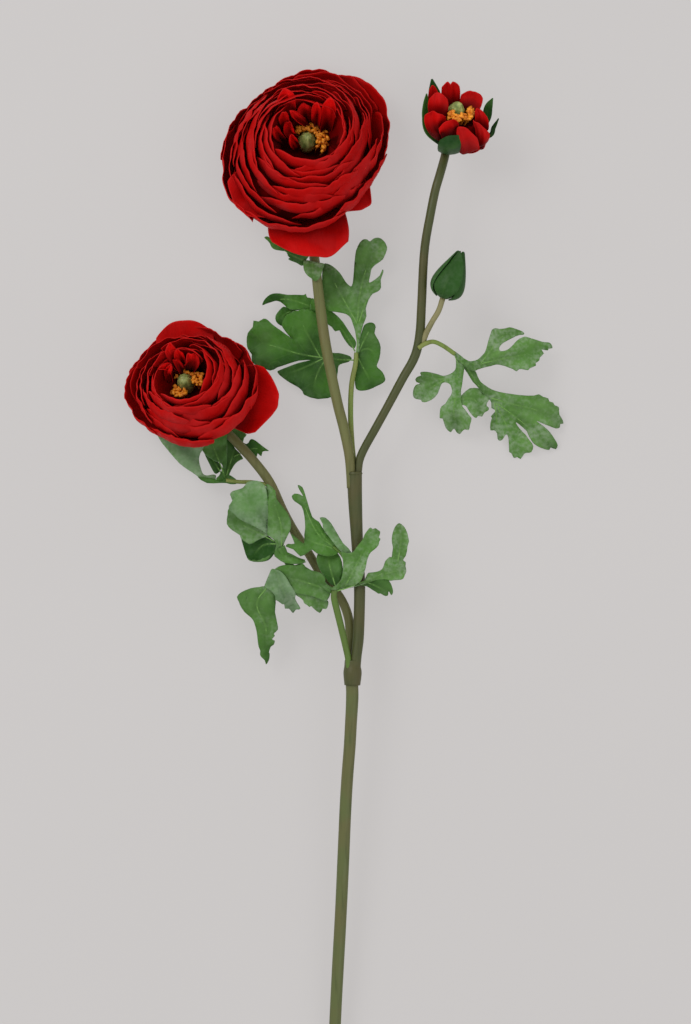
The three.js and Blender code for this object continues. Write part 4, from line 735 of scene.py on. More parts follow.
def guide(rows, fold=None):
    """The place, side, up and size of rows of [x, y, z, size] at t.

    A fold is the one side of a run that turns back on itself, in degrees from the right.
    """
    at = spline(rows)
    kept = None if fold is None else Vector((cos(radians(fold)), sin(radians(fold)), 0))

    def read(t):
        forward = (at(min(t + 0.002, 1)) - at(max(t - 0.002, 0))).xyz.normalized()
        side = kept or forward.cross(UP).normalized()
        here = at(t)
        return here.xyz, side, side.cross(forward), max(here.w, 0.2)

    return read


def around(values, turn):
    """A smooth closed line through values that stand at equal turns, anticlockwise from the right."""
    place = turn / (2 * pi) % 1 * len(values)
    i = int(place)
    return cubic(*(values[(i + step) % len(values)] for step in (-1, 0, 1, 2)), place - i)


def bezier(line, t):
    """A cubic curve of four [radius, height] points."""
    s = 1 - t
    weights = (s**3, 3 * s * s * t, 3 * s * t * t, t**3)
    return (
        sum(w * p[0] for w, p in zip(weights, line)),
        sum(w * p[1] for w, p in zip(weights, line)),
    )


def frame_of(flower):
    """A flower's own frame: z out of its face, x to the right and y up as seen from above."""
    z = Vector(flower["axis"]).normalized()
    x = (Vector((1, 0, 0)) - z * z.x).normalized()
    y = z.cross(x)
    turned = Matrix((x, y, z)).transposed().to_4x4()
    stretch = Matrix.Diagonal((flower["wide"], flower["wide"], flower["deep"], 1))
    return Matrix.Translation(flower["base"]) @ turned @ stretch


def upright(flower):
    """A flower's frame without its stretch."""
    return frame_of({**flower, "wide": 1, "deep": 1})


def placed(place, point):
    """A surface moved into a flower's frame."""
    return lambda u, v: place @ point(u, v)


# Making meshes


def new_mesh():
    bm = bmesh.new()
    bm.loops.layers.uv.new("UVMap")
    bm.verts.layers.float.new("tone")
    bm.verts.layers.float.new("margin")
    return bm


def bend_grid(bm, columns, rows, point, tone=0.0, face=0):
    """A grid bent by point(u, v), with u from -1 to 1 across and v from 0 to 1 along."""
    made = bmesh.ops.create_grid(bm, x_segments=columns, y_segments=rows, size=1, calc_uvs=True)
    verts = made["verts"]
    layer = bm.verts.layers.float["tone"]
    for vert in verts:
        vert.co = point(vert.co.x, (vert.co.y + 1) / 2)
        vert.co.z = max(vert.co.z, TABLE)
        vert[layer] = tone
    for part in {part for vert in verts for part in vert.link_faces}:
        part.material_index = face
        part.smooth = True
    return verts


def close_up(bm, verts):
    """Joins the seam and the poles of a bent grid, fills its ends and turns its faces outwards."""
    bmesh.ops.remove_doubles(bm, verts=verts, dist=0.001)
    kept = [vert for vert in verts if vert.is_valid]
    edges = {edge for vert in kept for edge in vert.link_edges if edge.is_boundary}
    if edges:
        bmesh.ops.holes_fill(bm, edges=list(edges), sides=0)
    faces = {part for vert in kept for part in vert.link_faces}
    bmesh.ops.recalc_face_normals(bm, faces=list(faces))


def add_rod(bm, rows, sides, rings, tone=0.0, face=0, swell=None):
    """A round rod through rows of [x, y, z, radius], which swell can make uneven."""
    at = guide(rows)

    def point(u, v):
        centre, side, up, size = at(v)
        if swell:
            size *= swell(u, v)
        return centre + (side * cos(pi * u) - up * sin(pi * u)) * size

    close_up(bm, bend_grid(bm, sides, rings, point, tone, face))


def add_turned(bm, profile, sides, rings, place, tone=0.0, shape=None):
    """A body turned from a profile of [radius, height], which shape can widen at a turn."""
    at = spline(profile)

    def point(u, v):
        radius, height = at(v)
        radius = max(radius, 0)
        if shape:
            radius *= shape(pi * u, v)
        return place @ Vector((radius * cos(pi * u), radius * sin(pi * u), height))

    close_up(bm, bend_grid(bm, sides, rings, point, tone))


def finish_piece(name, bm, materials, nodes, wall=0.0, under=0, rim=0):
    """Turns a mesh in millimetres into a finished object that stands for CAD nodes."""
    bmesh.ops.scale(bm, vec=(MM, MM, MM), verts=bm.verts)
    mesh = bpy.data.meshes.new(name)
    bm.to_mesh(mesh)
    bm.free()
    for material in materials:
        mesh.materials.append(material)
    piece = bpy.data.objects.new(name, mesh)
    bpy.context.scene.collection.objects.link(piece)
    if wall:
        shell = piece.modifiers.new("Wall", "SOLIDIFY")
        shell.thickness = wall
        shell.offset = 0
        shell.material_offset = under
        shell.material_offset_rim = rim
    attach(piece, "root")
    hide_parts(*nodes)
    return piece


# Materials


def add_node(tree, kind, values=None, **settings):
    made = tree.nodes.new(kind)
    for key, value in settings.items():
        setattr(made, key, value)
    for key, value in (values or {}).items():
        if isinstance(value, bpy.types.NodeSocket):
            tree.links.new(value, made.inputs[key])
        else:
            made.inputs[key].default_value = value
    return made


def start_material(name, roughness, **sockets):
    material = bpy.data.materials.new(name)
    material.use_nodes = True
    tree = material.node_tree
    shader = tree.nodes["Principled BSDF"]
    shader.inputs["Roughness"].default_value = roughness
    for key, value in sockets.items():
        shader.inputs[key.replace("_", " ")].default_value = value
    return material, tree, shader


def math_node(tree, operation, a, b=0.0):
    return add_node(tree, "ShaderNodeMath", {0: a, 1: b}, operation=operation).outputs[0]


def blend_colour(tree, factor, a, b):
    made = add_node(tree, "ShaderNodeMix", {0: factor, 6: a, 7: b}, data_type="RGBA")
    return made.outputs[2]


def band(tree, value, low, high, start=0.0, stop=1.0):
    """A smooth step from start, at low, to stop, at high."""
    values = {"Value": value, "From Min": low, "From Max": high, "To Min": start, "To Max": stop}
    return add_node(tree, "ShaderNodeMapRange", values, interpolation_type="SMOOTHSTEP").outputs[0]


def grain(tree, vector, scale, detail=2.0, stretch=(1, 1, 1)):
    moved = add_node(tree, "ShaderNodeMapping", {"Vector": vector, "Scale": stretch}).outputs[0]
    values = {"Vector": moved, "Scale": scale, "Detail": detail}
    return add_node(tree, "ShaderNodeTexNoise", values).outputs["Fac"]


def object_place(tree):
    return add_node(tree, "ShaderNodeTexCoord").outputs["Object"]


def attribute(tree, name):
    return add_node(tree, "ShaderNodeAttribute", attribute_name=name).outputs["Fac"]


def surface_map(tree):
    """The piece's own map, and its parts across and along a petal or a blade."""
    chart = add_node(tree, "ShaderNodeTexCoord").outputs["UV"]
    parts = add_node(tree, "ShaderNodeSeparateXYZ", {0: chart}).outputs
    return chart, parts[0], parts[1]


def scaled(tint, factor):
    """A colour made darker or brighter by a factor."""
    return [channel * factor for channel in tint[:3]] + [1]


def paint(tree, shader, body, *layers):
    """Lays layers of (how much, colour) over a colour and gives the shader the result."""
    for amount, tint in layers:
        body = blend_colour(tree, amount, body, tint)
    tree.links.new(body, shader.inputs["Base Color"])


def bump(tree, shader, *layers):
    """Lays layers of (height, strength, distance in metres) on each other."""
    normal = None
    for height, strength, distance in layers:
        values = {"Height": height, "Strength": strength, "Distance": distance}
        if normal:
            values["Normal"] = normal
        normal = add_node(tree, "ShaderNodeBump", values).outputs[0]
    tree.links.new(normal, shader.inputs["Normal"])


def petal_cloth(name, settings, lift=1.0, pleat=24, foot=0.66):
    """Satin cloth with pleats from the foot to the rim, a paler rim and pale patches of painted sheen.

    Lift brightens the red as painted light, pleat is how close the pleats are, and foot is how far up
    a petal its painted shade, a black foot, reaches.
    """
    material, tree, shader = start_material(
        name,
        0.6,
        Sheen_Weight=0.02,
        Sheen_Roughness=0.4,
        Sheen_Tint=PETAL_SHEEN,
        Specular_IOR_Level=0.05,
    )
    place = object_place(tree)
    tone = attribute(tree, "tone")
    chart, across, along = surface_map(tree)
    far = math_node(tree, "MULTIPLY", tone, 17.0)
    shift = add_node(tree, "ShaderNodeCombineXYZ", {0: tone, 1: tone, 2: far}).outputs[0]
    own = add_node(tree, "ShaderNodeVectorMath", {0: chart, 1: shift}).outputs[0]
    pleats = grain(tree, own, 1.0, 3.0, (pleat, 1.2, 1))
    clouds = grain(tree, place, 95.0, 3.0)
    weave = grain(tree, place, 1500.0, 1.0)
    # Painted sheen: pale patches near the listed spots stand for the light that the satin catches
    shiny = [
        add_node(tree, "ShaderNodeVectorMath", {0: place, 1: spot}, operation="DISTANCE").outputs["Value"]
        for spot in SHEEN_SPOTS
    ]
    near = band(tree, math_node(tree, "MINIMUM", *shiny), *SHEEN_REACH, 0.6, 0.12)
    patches = math_node(tree, "MULTIPLY", band(tree, grain(tree, place, 60.0, 4.0), 0.42, 0.66), near)
    aside = math_node(tree, "ABSOLUTE", math_node(tree, "SUBTRACT", across, 0.5))
    near_rim = math_node(tree, "MAXIMUM", band(tree, along, 0.955, 0.99), band(tree, aside, 0.48, 0.498))
    # Painted shade: the red darkens to deep red towards the foot and to near black at the foot, where the
    # petals shut out each other's light
    deep = settings.deep_red
    red = blend_colour(tree, band(tree, along, 0.4, 0.85), deep, scaled(settings.red, lift))
    paint(
        tree,
        shader,
        blend_colour(tree, band(tree, along, foot - 0.46, foot), scaled(deep, 0.12), red),
        (band(tree, pleats, 0.5, 0.85, 0, 0.5), deep),
        (band(tree, clouds, 0.45, 0.75, 0, 0.45), deep),
        (band(tree, tone, 0.0, 1.0, 0, 0.35), deep),
        (patches, settings.bloom_sheen),
        (math_node(tree, "MULTIPLY", near_rim, 0.55), settings.rim),
    )
    tree.links.new(band(tree, clouds, 0.3, 0.7, 0.48, 0.66), shader.inputs["Roughness"])
    bump(tree, shader, (pleats, 0.4, 0.0006), (clouds, 0.3, 0.0012), (weave, 0.12, 0.0002))
    return material


def plain_cloth(name, surface, threads, span, colours, relief):
    """Cloth of two colours mixed by one grain.

    Surface is its roughness and gloss, threads the grain's scale and detail, span where the grain
    turns from the first colour to the second, and relief how strong and high its bumps are.
    """
    material, tree, shader = start_material(name, surface[0], Specular_IOR_Level=surface[1])
    mottle = grain(tree, object_place(tree), *threads)
    paint(tree, shader, colours[0], (band(tree, mottle, *span), colours[1]))
    bump(tree, shader, (mottle, *relief))
    return material


def petal_edge(name, settings):
    """The cut edge of the cloth, paler than its faces."""
    colours = (settings.red, settings.rim)
    return plain_cloth(name, (0.6, 0.12), (900.0, 2.0), (0.3, 0.7), colours, (0.2, 0.0002))


def petal_depth(name, settings):
    """Painted shade: near-black cloth for the bodies deep between the petals, where hardly any light comes.
    """
    colours = (scaled(settings.deep_red, 0.1), scaled(settings.deep_red, 0.35))
    return plain_cloth(name, (0.8, 0.02), (140.0, 3.0), (0.35, 0.7), colours, (0.5, 0.001))


def leaf_edge(name, settings):
    """The cut edge of a blade, a little duller than its faces."""
    colours = (settings.green, scaled(settings.under, 0.8))
    return plain_cloth(name, (0.6, 0.1), (260.0, 2.0), (0.2, 0.55), colours, (0.2, 0.0002))


def leaf_blade(name, settings, face, vein_strength=1.0, dust=0.45, wide=1.0):
    """A blade with a pale midrib, faint side veins and a chalky dust, darker where its tone is high.

    Dust is how pale the chalk is on a light blade, and wide is how much of the piece's map a rib
    and its shadow take.
    """
    material, tree, shader = start_material(name, 0.5, Sheen_Weight=0.02, Specular_IOR_Level=0.1)

    def times(a, b):
        return math_node(tree, "MULTIPLY", a, b)

    place = object_place(tree)
    tone = attribute(tree, "tone")
    across, along = surface_map(tree)[1:]
    aside = math_node(tree, "ABSOLUTE", math_node(tree, "SUBTRACT", across, 0.5))
    half = times(aside, 2.0 / wide)
    clouds = grain(tree, place, 70.0, 4.0)
    fine = grain(tree, place, 700.0, 3.0)
    near_margin = band(tree, attribute(tree, "margin"), 0.0, 1.0, 1, 0.35)
    on_light = band(tree, tone, 0.05, 0.6, dust, 0.12 * dust)
    speckle = times(grain(tree, place, 85.0, 5.0), grain(tree, place, 520.0, 4.0))
    rib = times(band(tree, half, 0.01, 0.04, 0.35, 0), band(tree, along, 0.4, 0.85, 1, 0))
    slant = math_node(tree, "SUBTRACT", times(along, 5.0), times(half, 3.0))
    wave = math_node(tree, "PINGPONG", slant, 0.5)
    side_vein = times(band(tree, wave, 0.01, 0.07, 0.1, 0), band(tree, half, 0.3, 0.6, 1, 0))
    veins = math_node(tree, "MAXIMUM", rib, side_vein)
    deeper = scaled(settings.dark, 0.5)
    paint(
        tree,
        shader,
        face,
        (band(tree, tone, 0.0, 1.0), settings.dark),
        (band(tree, clouds, 0.42, 0.72, 0.0, 0.3), deeper),
        (band(tree, half, 0.0, 0.2, 0.32, 0.0), deeper),
        (band(tree, grain(tree, place, 42.0, 3.0), 0.45, 0.65, 0, 0.45), settings.green),
        (times(band(tree, speckle, 0.15, 0.4, 0, 1.2), times(near_margin, on_light)), CHALK),
        (times(veins, 0.7 * vein_strength), settings.vein),
    )
    tree.links.new(band(tree, clouds, 0.3, 0.7, 0.42, 0.6), shader.inputs["Roughness"])
    bump(tree, shader, (veins, 0.4, 0.0003), (clouds, 0.3, 0.0008), (fine, 0.15, 0.0002))
    return material


def stem_skin(name, main, second, streak=0.6):
    """A moulded stem with long streaks, darker flecks and a dull shine."""
    material, tree, shader = start_material(name, 0.5, Specular_IOR_Level=0.35)
    place = object_place(tree)
    long_streaks = grain(tree, place, 1.0, 4.0, (520, 45, 520))
    flecks = grain(tree, place, 900.0, 2.0)
    paint(
        tree,
        shader,
        main,
        (band(tree, grain(tree, place, 45.0, 3.0), 0.4, 0.65, 0, streak), second),
        (band(tree, long_streaks, 0.5, 0.8, 0, 0.75), scaled(main, 0.62)),
        (band(tree, flecks, 0.62, 0.75, 0, 0.35), second),
    )
    tree.links.new(band(tree, long_streaks, 0.3, 0.7, 0.42, 0.58), shader.inputs["Roughness"])
    bump(tree, shader, (long_streaks, 0.45, 0.0004), (flecks, 0.15, 0.0002))
    return material


def grainy(name, light, dark, scale, roughness):
    """A mottled, slightly rough surface, as on anthers and seed heads."""
    material, tree, shader = start_material(name, roughness, Specular_IOR_Level=0.35)
    coarse = grain(tree, object_place(tree), scale, 3.0)
    mottle = band(tree, coarse, 0.35, 0.68)
    shade = band(tree, attribute(tree, "tone"), 0, 1, 0, 0.7)
    paint(tree, shader, light, (mottle, dark), (shade, dark))
    rough = band(tree, coarse, 0.3, 0.7, roughness - 0.12, roughness + 0.1)
    tree.links.new(rough, shader.inputs["Roughness"])
    bump(tree, shader, (coarse, 0.5, 0.0004))
    return material


# Stems


STEMS = (
    ("main_stem", MAIN_STEM, 60),
    ("middle_stem", MIDDLE_STEM, 40),
    ("large_bloom_stem", LARGE_BLOOM_STEM, 60),
    ("small_bloom_stem", SMALL_BLOOM_STEM, 60),
    ("bud_stem", BUD_STEM, 60),
    ("closed_bud_stem", CLOSED_BUD_STEM, 16),
)


class SPRAY_OT_stems(Operator):
    """Make the stems and the sockets that they stand in"""

    bl_idname = "spray.stems"
    bl_label = "Stems"

    def execute(self, context):
        settings = context.scene.spray_stems
        skins = {
            "main_stem": stem_skin("stem_green", settings.green, settings.brown, 0.4),
            "middle_stem": stem_skin("stem_shaded", SHADED_STEM, SHADED_STREAK),
            "small_bloom_stem": stem_skin("stem_olive", OLIVE_STEM, settings.brown, 0.35),
        }
        skins["bud_stem"] = skins["middle_stem"]
        skins["large_bloom_stem"] = skins["small_bloom_stem"]
        skins["closed_bud_stem"] = stem_skin("stem_pale", PALE_STEM, settings.green)
        for number, (node, rows, rings) in enumerate(STEMS):
            bm = new_mesh()

            def swell(u, v, number=number):
                return 1 + 0.035 * noise.noise(Vector((cos(pi * u), sin(pi * u) + 9 * v, 7 * number)))

            add_rod(bm, rows, settings.sides, rings, 0.3 * (number % 3), 0, swell)
            if node == "main_stem":
                self.add_socket(bm, settings.sides)
            if node == "middle_stem":
                self.add_collar(bm, settings.sides)
            finish_piece("fine_" + node, bm, [skins[node], skins["middle_stem"]], [node])
        return {"FINISHED"}

    def add_socket(self, bm, sides):
        """The cup that the middle stem, the small bloom's stem and a leaf stalk stand in."""
        add_rod(bm, LOWER_SOCKET, 2 * sides, 28, 0.2, 1)

    def add_collar(self, bm, sides):
        """The thin ring at the mouth of the upper socket."""
        add_rod(bm, COLLAR, 2 * sides, 8)


# Leaves


LEAVES = (
    ("right_leaf", RIGHT_LEAF),
    ("upper_left_leaf", UPPER_LEFT_LEAF),
    ("back_leaf", BACK_LEAF),
    ("lower_leaf", LOWER_LEAF),
    ("bract_leaf", BRACT_LEAF),
)


def level_at(spots, x, y):
    """The height at a place among spots, where a near spot counts for more."""
    weights = [1 / ((x - spot.x) ** 2 + (y - spot.y) ** 2 + 1) ** 2 for spot in spots]
    return sum(weight * spot.z for weight, spot in zip(weights, spots)) / sum(weights)


def read_outline(points, view, lines):
    """An outline in millimetres from a view's pixels, put where it lies at its blade's height."""
    left, top, scale = view
    spots = [line(step / 10) for line in lines for step in range(11)]
    outline = []
    for across, down in points:
        seen_x, seen_y = left + across / scale, top - down / scale
        x, y = seen_x, seen_y
        for _ in range(3):
            nearer = (EYE_Z - level_at(spots, x, y)) / (EYE_Z - READ_LEVEL)
            x, y = EYE_X + (seen_x - EYE_X) * nearer, EYE_Y + (seen_y - EYE_Y) * nearer
        outline.append((round(x, 1), round(y, 1)))
    return outline


def blade_surface(lines, seed):
    """The height of a blade at a place, keeled along its lobes' lines and softly crumpled."""
    spots = [line(step / 12) for line in lines for step in range(13)]
    span = max((line(1) - line(0)).xy.length for line in lines)
    relief = min(span / 24, 1)

    def height(x, y):
        out = sqrt(min((x - spot.x) ** 2 + (y - spot.y) ** 2 for spot in spots))
        keel = 0.3 * min(out, 6) - 0.7
        soft = 2.2 * noise.noise(Vector((0.1 * x, 0.1 * y, seed)))
        edge = 1.5 * noise.noise(Vector((0.28 * x, 0.28 * y, seed + 5))) * ease(1, 6, out)
        return max(level_at(spots, x, y) + relief * (keel + soft + edge), 0.5)

    return height


def cut_blade(bm, outline, height, lines, tone, face):
    """A flat face cut to an outline, sliced into small cells and bent to its height."""
    drawn = [Vector(corner) for corner in outline]
    corners = [around(drawn, pi * i / len(drawn)) for i in range(2 * len(drawn))]
    whole = bm.faces.new([bm.verts.new((corner.x, corner.y, 0)) for corner in corners])
    whole.normal_update()
    made = bmesh.ops.triangulate(bm, faces=[whole])
    geometry = [*made["faces"], *{edge for part in made["faces"] for edge in part.edges}]
    geometry += {vert for part in made["faces"] for vert in part.verts}
    for axis, normal in enumerate(((1, 0, 0), (0, 1, 0))):
        low = min(corner[axis] for corner in corners)
        high = max(corner[axis] for corner in corners)
        for step in range(1, int((high - low) / CELL) + 1):
            at = [0, 0, 0]
            at[axis] = low + step * CELL
            sliced = bmesh.ops.bisect_plane(bm, geom=geometry, dist=0.02, plane_co=at, plane_no=normal)
            geometry = sliced["geom"]
    parts = [part for part in geometry if isinstance(part, bmesh.types.BMFace)]
    shade = bm.verts.layers.float["tone"]
    margin = bm.verts.layers.float["margin"]
    chart = bm.loops.layers.uv["UVMap"]
    for part in parts:
        part.material_index = face
        part.smooth = True
        middle = part.calc_center_median()
        line = min(lines, key=lambda rows: rib_chart(rows, middle)[0])
        for loop in part.loops:
            apart, side, along = rib_chart(line, loop.vert.co)
            loop[chart].uv = (0.5 + side * apart / MAP_WIDTH, along)
    for vert in {vert for part in parts for vert in part.verts}:
        x, y = vert.co.xy
        vert[margin] = min(min((corner.xy - vert.co.xy).length for corner in corners) / DUST_REACH, 1)
        vert.co.z = height(x, y)
        # Painted shade: a patchy darker and lighter tone standing for the shade of the blade's folds, and a
        # darker tone near the outline
        mottle = 0.3 * noise.noise(Vector((0.08 * x, 0.08 * y, 3 * tone)))
        vert[shade] = tone + mottle + 0.2 * (0.5 - vert[margin])
    bmesh.ops.recalc_face_normals(bm, faces=parts)
    if parts[0].normal.z < 0:
        bmesh.ops.reverse_faces(bm, faces=parts)


def rib_chart(line, place):
    """How far a place is from a lobe's line, on which side of it, and how far along."""
    best = (FAR, 1, 0)
    for step in range(12):
        a, b = line(step / 12), line((step + 1) / 12)
        run = (b - a).xy
        off = place.xy - a.xy
        t = min(max(off.dot(run) / max(run.length_squared, 1e-6), 0), 1)
        gap = off - run * t
        apart = gap.length
        if apart < best[0]:
            best = (apart, 1 if run.x * gap.y - run.y * gap.x < 0 else -1, (step + t) / 12)
    return best


def strip(rows, seed):
    """A narrow part of a blade between its lobes."""
    at = guide(rows)

    def point(u, v):
        centre, side, up, size = at(v)
        soft = 0.5 * noise.noise(Vector((0.1 * centre.x, 0.1 * centre.y, seed)))
        return centre + side * u * size + up * (soft - 0.2 * u * u * size)

    return point


class SPRAY_OT_leaves(Operator):
    """Make the lobed leaves with their stalks and ribs"""

    bl_idname = "spray.leaves"
    bl_label = "Leaves"

    def execute(self, context):
        settings = context.scene.spray_leaves
        upper = leaf_blade("leaf_upper_face", settings, settings.light)
        under = leaf_blade("leaf_lower_face", settings, settings.under, 0.5, 0.3)
        edge = leaf_edge("leaf_cut_edge", settings)
        rib = stem_skin("leaf_rib", settings.vein, settings.green, 0.4)
        stalk = stem_skin("leaf_stalk", context.scene.spray_stems.petiole, settings.green, 0.3)
        dark_stalk = stem_skin("leaf_stalk_dark", DARK_STALK, settings.green, 0.3)
        for number, (node, leaf) in enumerate(LEAVES):
            blades = new_mesh()
            ribs = new_mesh()
            drawn = set()
            for count, (lobes, tone, turned, view, points) in enumerate(BLADES[node]):
                lines = [spline(leaf["lobes"][lobe]) for lobe in lobes]
                height = blade_surface(lines, 100 * number + count)
                cut_blade(blades, read_outline(points, view, lines), height, lines, tone, turned)
                for line in lines:
                    if not turned and (line(1) - line(0)).xy.length > SHORTEST_RIB:
                        self.add_rib(ribs, line, height)
                drawn.update(lobes)
            for count, rows in enumerate(leaf["lobes"]):
                if count not in drawn:
                    bend_grid(blades, 8, 20, strip(rows, 100 * number + count + 50), 0.5)
            stalk_rows = leaf["petiole"] or []
            if node == "lower_leaf":
                thin_rows = [[x, y, z - 0.6, 0.9] for x, y, z, _ in stalk_rows[FREE_ROWS - 1 :]]
                add_rod(ribs, thin_rows, 12, 24, 0.2, 1)
                stalk_rows = stalk_rows[:FREE_ROWS]
            if stalk_rows:
                add_rod(ribs, stalk_rows, 14, 36, 0.2, 1)
            faces = [upper, under, edge]
            finish_piece("fine_" + node, blades, faces, [node], settings.thickness, under=1, rim=2)
            shade = dark_stalk if node == "lower_leaf" else stalk
            finish_piece("fine_" + node + "_ribs", ribs, [rib, shade], [node])
        return {"FINISHED"}

    def add_rib(self, bm, line, height):
        """A thin raised rib that ends before the tip of its lobe."""
        rows = []
        for step in range(7):
            spot = line(RIB_REACH * step / 6)
            rows.append([spot.x, spot.y, height(spot.x, spot.y) + 0.12, 0.36 - 0.05 * step])
        add_rod(bm, rows, 6, 18, 0.2)


# Blooms


def petal(turn, half, line, twist, ruffle, seed, lift=0.0, crumple=0.9, rounding=0.16, shape=None):
    """The middle surface of a petal whose line from foot to rim is a cubic curve.

    It stands at a turn and is as many radians wide as twice its half. Twist and lift push one side
    of its rim out and up. The shape gives what a turn adds to the radius, and how far it shifts
    the rim.
    """
    arc = half * line[3][0]

    def waves(u, size, offset):
        return noise.noise(Vector((u * arc / size, 5.3 * seed, offset)))

    def point(u, v):
        reach = v * (1 - rounding * abs(u) ** 3.4)
        radius, height = bezier(line, reach)
        angle = turn + u * half * (1 - TAPER + TAPER * sqrt(max(reach, 0)))
        rim = reach**3
        soft = crumple * noise.noise(Vector((0.16 * u * arc, 1.7 * reach, 3.1 * seed))) * reach
        outwards = 1.7 * waves(u, 9, 0) + 0.5 * waves(u, 3, 8)
        upwards = 1.8 * waves(u, 10, 20) + 0.6 * waves(u, 3.4, 30)
        out = radius + twist * u * reach + ruffle * outwards * rim + soft
        rise = lift * u * reach**2 + ruffle * upwards * rim
        more, across, along = shape(angle) if shape else (0, 0, 0)
        out += more * reach
        return Vector((out * cos(angle) + across * reach, out * sin(angle) + along * reach, height + rise))

    return point


def bloom_layers(bloom, ruffle):
    """A mesh of layers of petals round a well, each wider and lower than the one inside it."""
    bm = new_mesh()
    place = frame_of(bloom)
    last = len(bloom["layers"]) - 1
    for k, count in enumerate(bloom["layers"]):
        t = k / last

        def shape(turn, t=t):
            aside = [shift * (1 - t) for shift in bloom["mouth"]]
            return t**1.4 * around(bloom["reach"], turn), *aside

        for i in range(count):
            mark = bloom["seed"] + 31 * k + i
            turn = 2 * pi * (i + 0.37 * k + 0.12 * jitter(mark + 900)) / count
            out = (BLOOM_RADIUS if k == last else WELL_RADIUS + STANDING * t**1.1) + 1.25 * jitter(mark)
            top = RIM_TOP - RIM_DROP * t**1.5 + 2.2 * jitter(mark + 500)
            lean = 1.2 + 1.3 * jitter(mark + 333)
            if k == last:
                line = [[5, 5], [0.8 * out, -1.5], [out + 2.5, 0.45 * top], [out + 1, top]]
            elif k == last - 1:
                line = [[5, 6], [0.8 * out, 1], [out + 3, 0.5 * top], [out, top]]
            else:
                line = [[out - 7, top - 22], [out + 0.5, top - 14], [out + 2.6, top - 5], [out - lean, top]]
            point = petal(
                turn=turn,
                half=OVERLAP * pi / count,
                line=line,
                twist=0.9 if k == last else 2.2 + jitter(mark + 61),
                ruffle=ruffle * (0.8 + 0.4 * t),
                seed=mark,
                lift=1.2 * jitter(mark + 41),
                rounding=0.16 if k == last else 0.3,
                shape=shape,
            )
            bend_grid(bm, 40, 14, placed(place, point), 0.5 + 0.5 * jitter(mark + 17))
    return bm


def sheet(rows, seed, fold=None, cup=0.0, roll=0, pleats=0.0, notch=0.0, crumple=0.5, rounding=0):
    """A petal or sepal drawn through rows.

    Cup raises its sides, roll turns them about its line, pleats and crumple are the heights of its
    long and its soft folds, notch is the cut in its rim, and rounding draws in the rim's corners.
    """
    at = guide(rows, fold)
    turn = radians(roll)

    def point(u, v):
        end = rounding * abs(u) ** 3 + notch * max(1 - 3 * abs(u), 0) ** 1.5
        centre, side, up, size = at(v * (1 - end))
        across = side * cos(turn) + up * sin(turn)
        out = up * cos(turn) - side * sin(turn)
        pleat = pleats * noise.noise(Vector((2.3 * u, 0.7 * v, seed))) * ease(0.1, 0.8, v)
        rise = cup * size * u * u + pleat + crumple * noise.noise(Vector((1.4 * u, 2.2 * v, seed + 9.5)))
        return centre + across * u * size + out * rise

    return point


def sheets(shapes, columns, rows, seed, **usual):
    """A mesh of petals or sepals that have the usual shape, apart from what each one says."""
    bm = new_mesh()
    for number, own in enumerate(shapes):
        shape = {**usual, **own}
        tone = shape.pop("tone")
        bend_grid(bm, columns, rows, sheet(**shape, seed=seed + number), tone)
    return bm


def core_width(bloom):
    """How a bloom's reach widens its core at a turn."""
    return lambda turn, _: 1 + around(bloom["reach"], turn) / BLOOM_RADIUS


class SPRAY_OT_blooms(Operator):
    """Make the petals of the two open blooms"""

    bl_idname = "spray.blooms"
    bl_label = "Open blooms"

    def execute(self, context):
        settings = context.scene.spray_petals
        cloth = petal_cloth("petal_cloth", settings)
        # Painted light: the open petals get a lighter copy of the cloth, and the heart petals a much lighter
        # one with a shorter painted black foot
        bright = petal_cloth("petal_cloth_lit", settings, 1.1)
        curled = petal_cloth("petal_cloth_curled", settings, 1.8, foot=0.5)
        deep = petal_depth("petal_cloth_deep", settings)
        edge = petal_edge("petal_cut_edge", settings)
        for name, bloom in (("large_bloom", LARGE_BLOOM), ("small_bloom", SMALL_BLOOM)):
            curls = [{"rows": rows} for rows in bloom["heart"]]
            seed = bloom["seed"]
            for piece, bm, face in (
                ("_petals", bloom_layers(bloom, settings.ruffle / MM), cloth),
                (
                    "_open_petals",
                    sheets(bloom["open"], 40, 36, seed + 700, tone=0.1, crumple=1.4, rounding=0.24),
                    bright,
                ),
                (
                    "_heart_petals",
                    sheets(curls, 16, 16, seed + 300, tone=0.1, cup=0.45, crumple=2.4, rounding=0.22),
                    curled,
                ),
            ):
                self.finish(name, piece, bm, [face, edge], settings.thickness)
            # Painted shade: the core under the petals is near-black cloth that fills the gaps between them
            core = new_mesh()
            add_turned(core, BLOOM_CORE, 48, 40, frame_of(bloom), 1.0, core_width(bloom))
            self.finish(name, "_core", core, [deep], 0.0)
        return {"FINISHED"}

    def finish(self, name, piece, bm, materials, wall):
        finish_piece("fine_" + name + piece, bm, materials, [name + "_petals"], wall, rim=1)


SMALL_FLOOR = WELL_FLOOR * SMALL_BLOOM["deep"]
LARGE_HEART = (1.4, 3.1)
SMALL_HEART = (-2.4, 2.4)
# A seed head's row is its node, flower, radius, height, foot, place in the flower and how broad its
# shoulder is.
PISTILS = (
    ("large_bloom_pistil", LARGE_BLOOM, 4.4, 12.5, WELL_FLOOR, LARGE_HEART, 0.6),
    ("small_bloom_pistil", SMALL_BLOOM, 4, 11, SMALL_FLOOR, SMALL_HEART, 1.0),
    ("bud_pistil", OPENING_BUD, 4, 10.5, BUD_FLOOR, (-1.4, 2.6), 0.5),
)
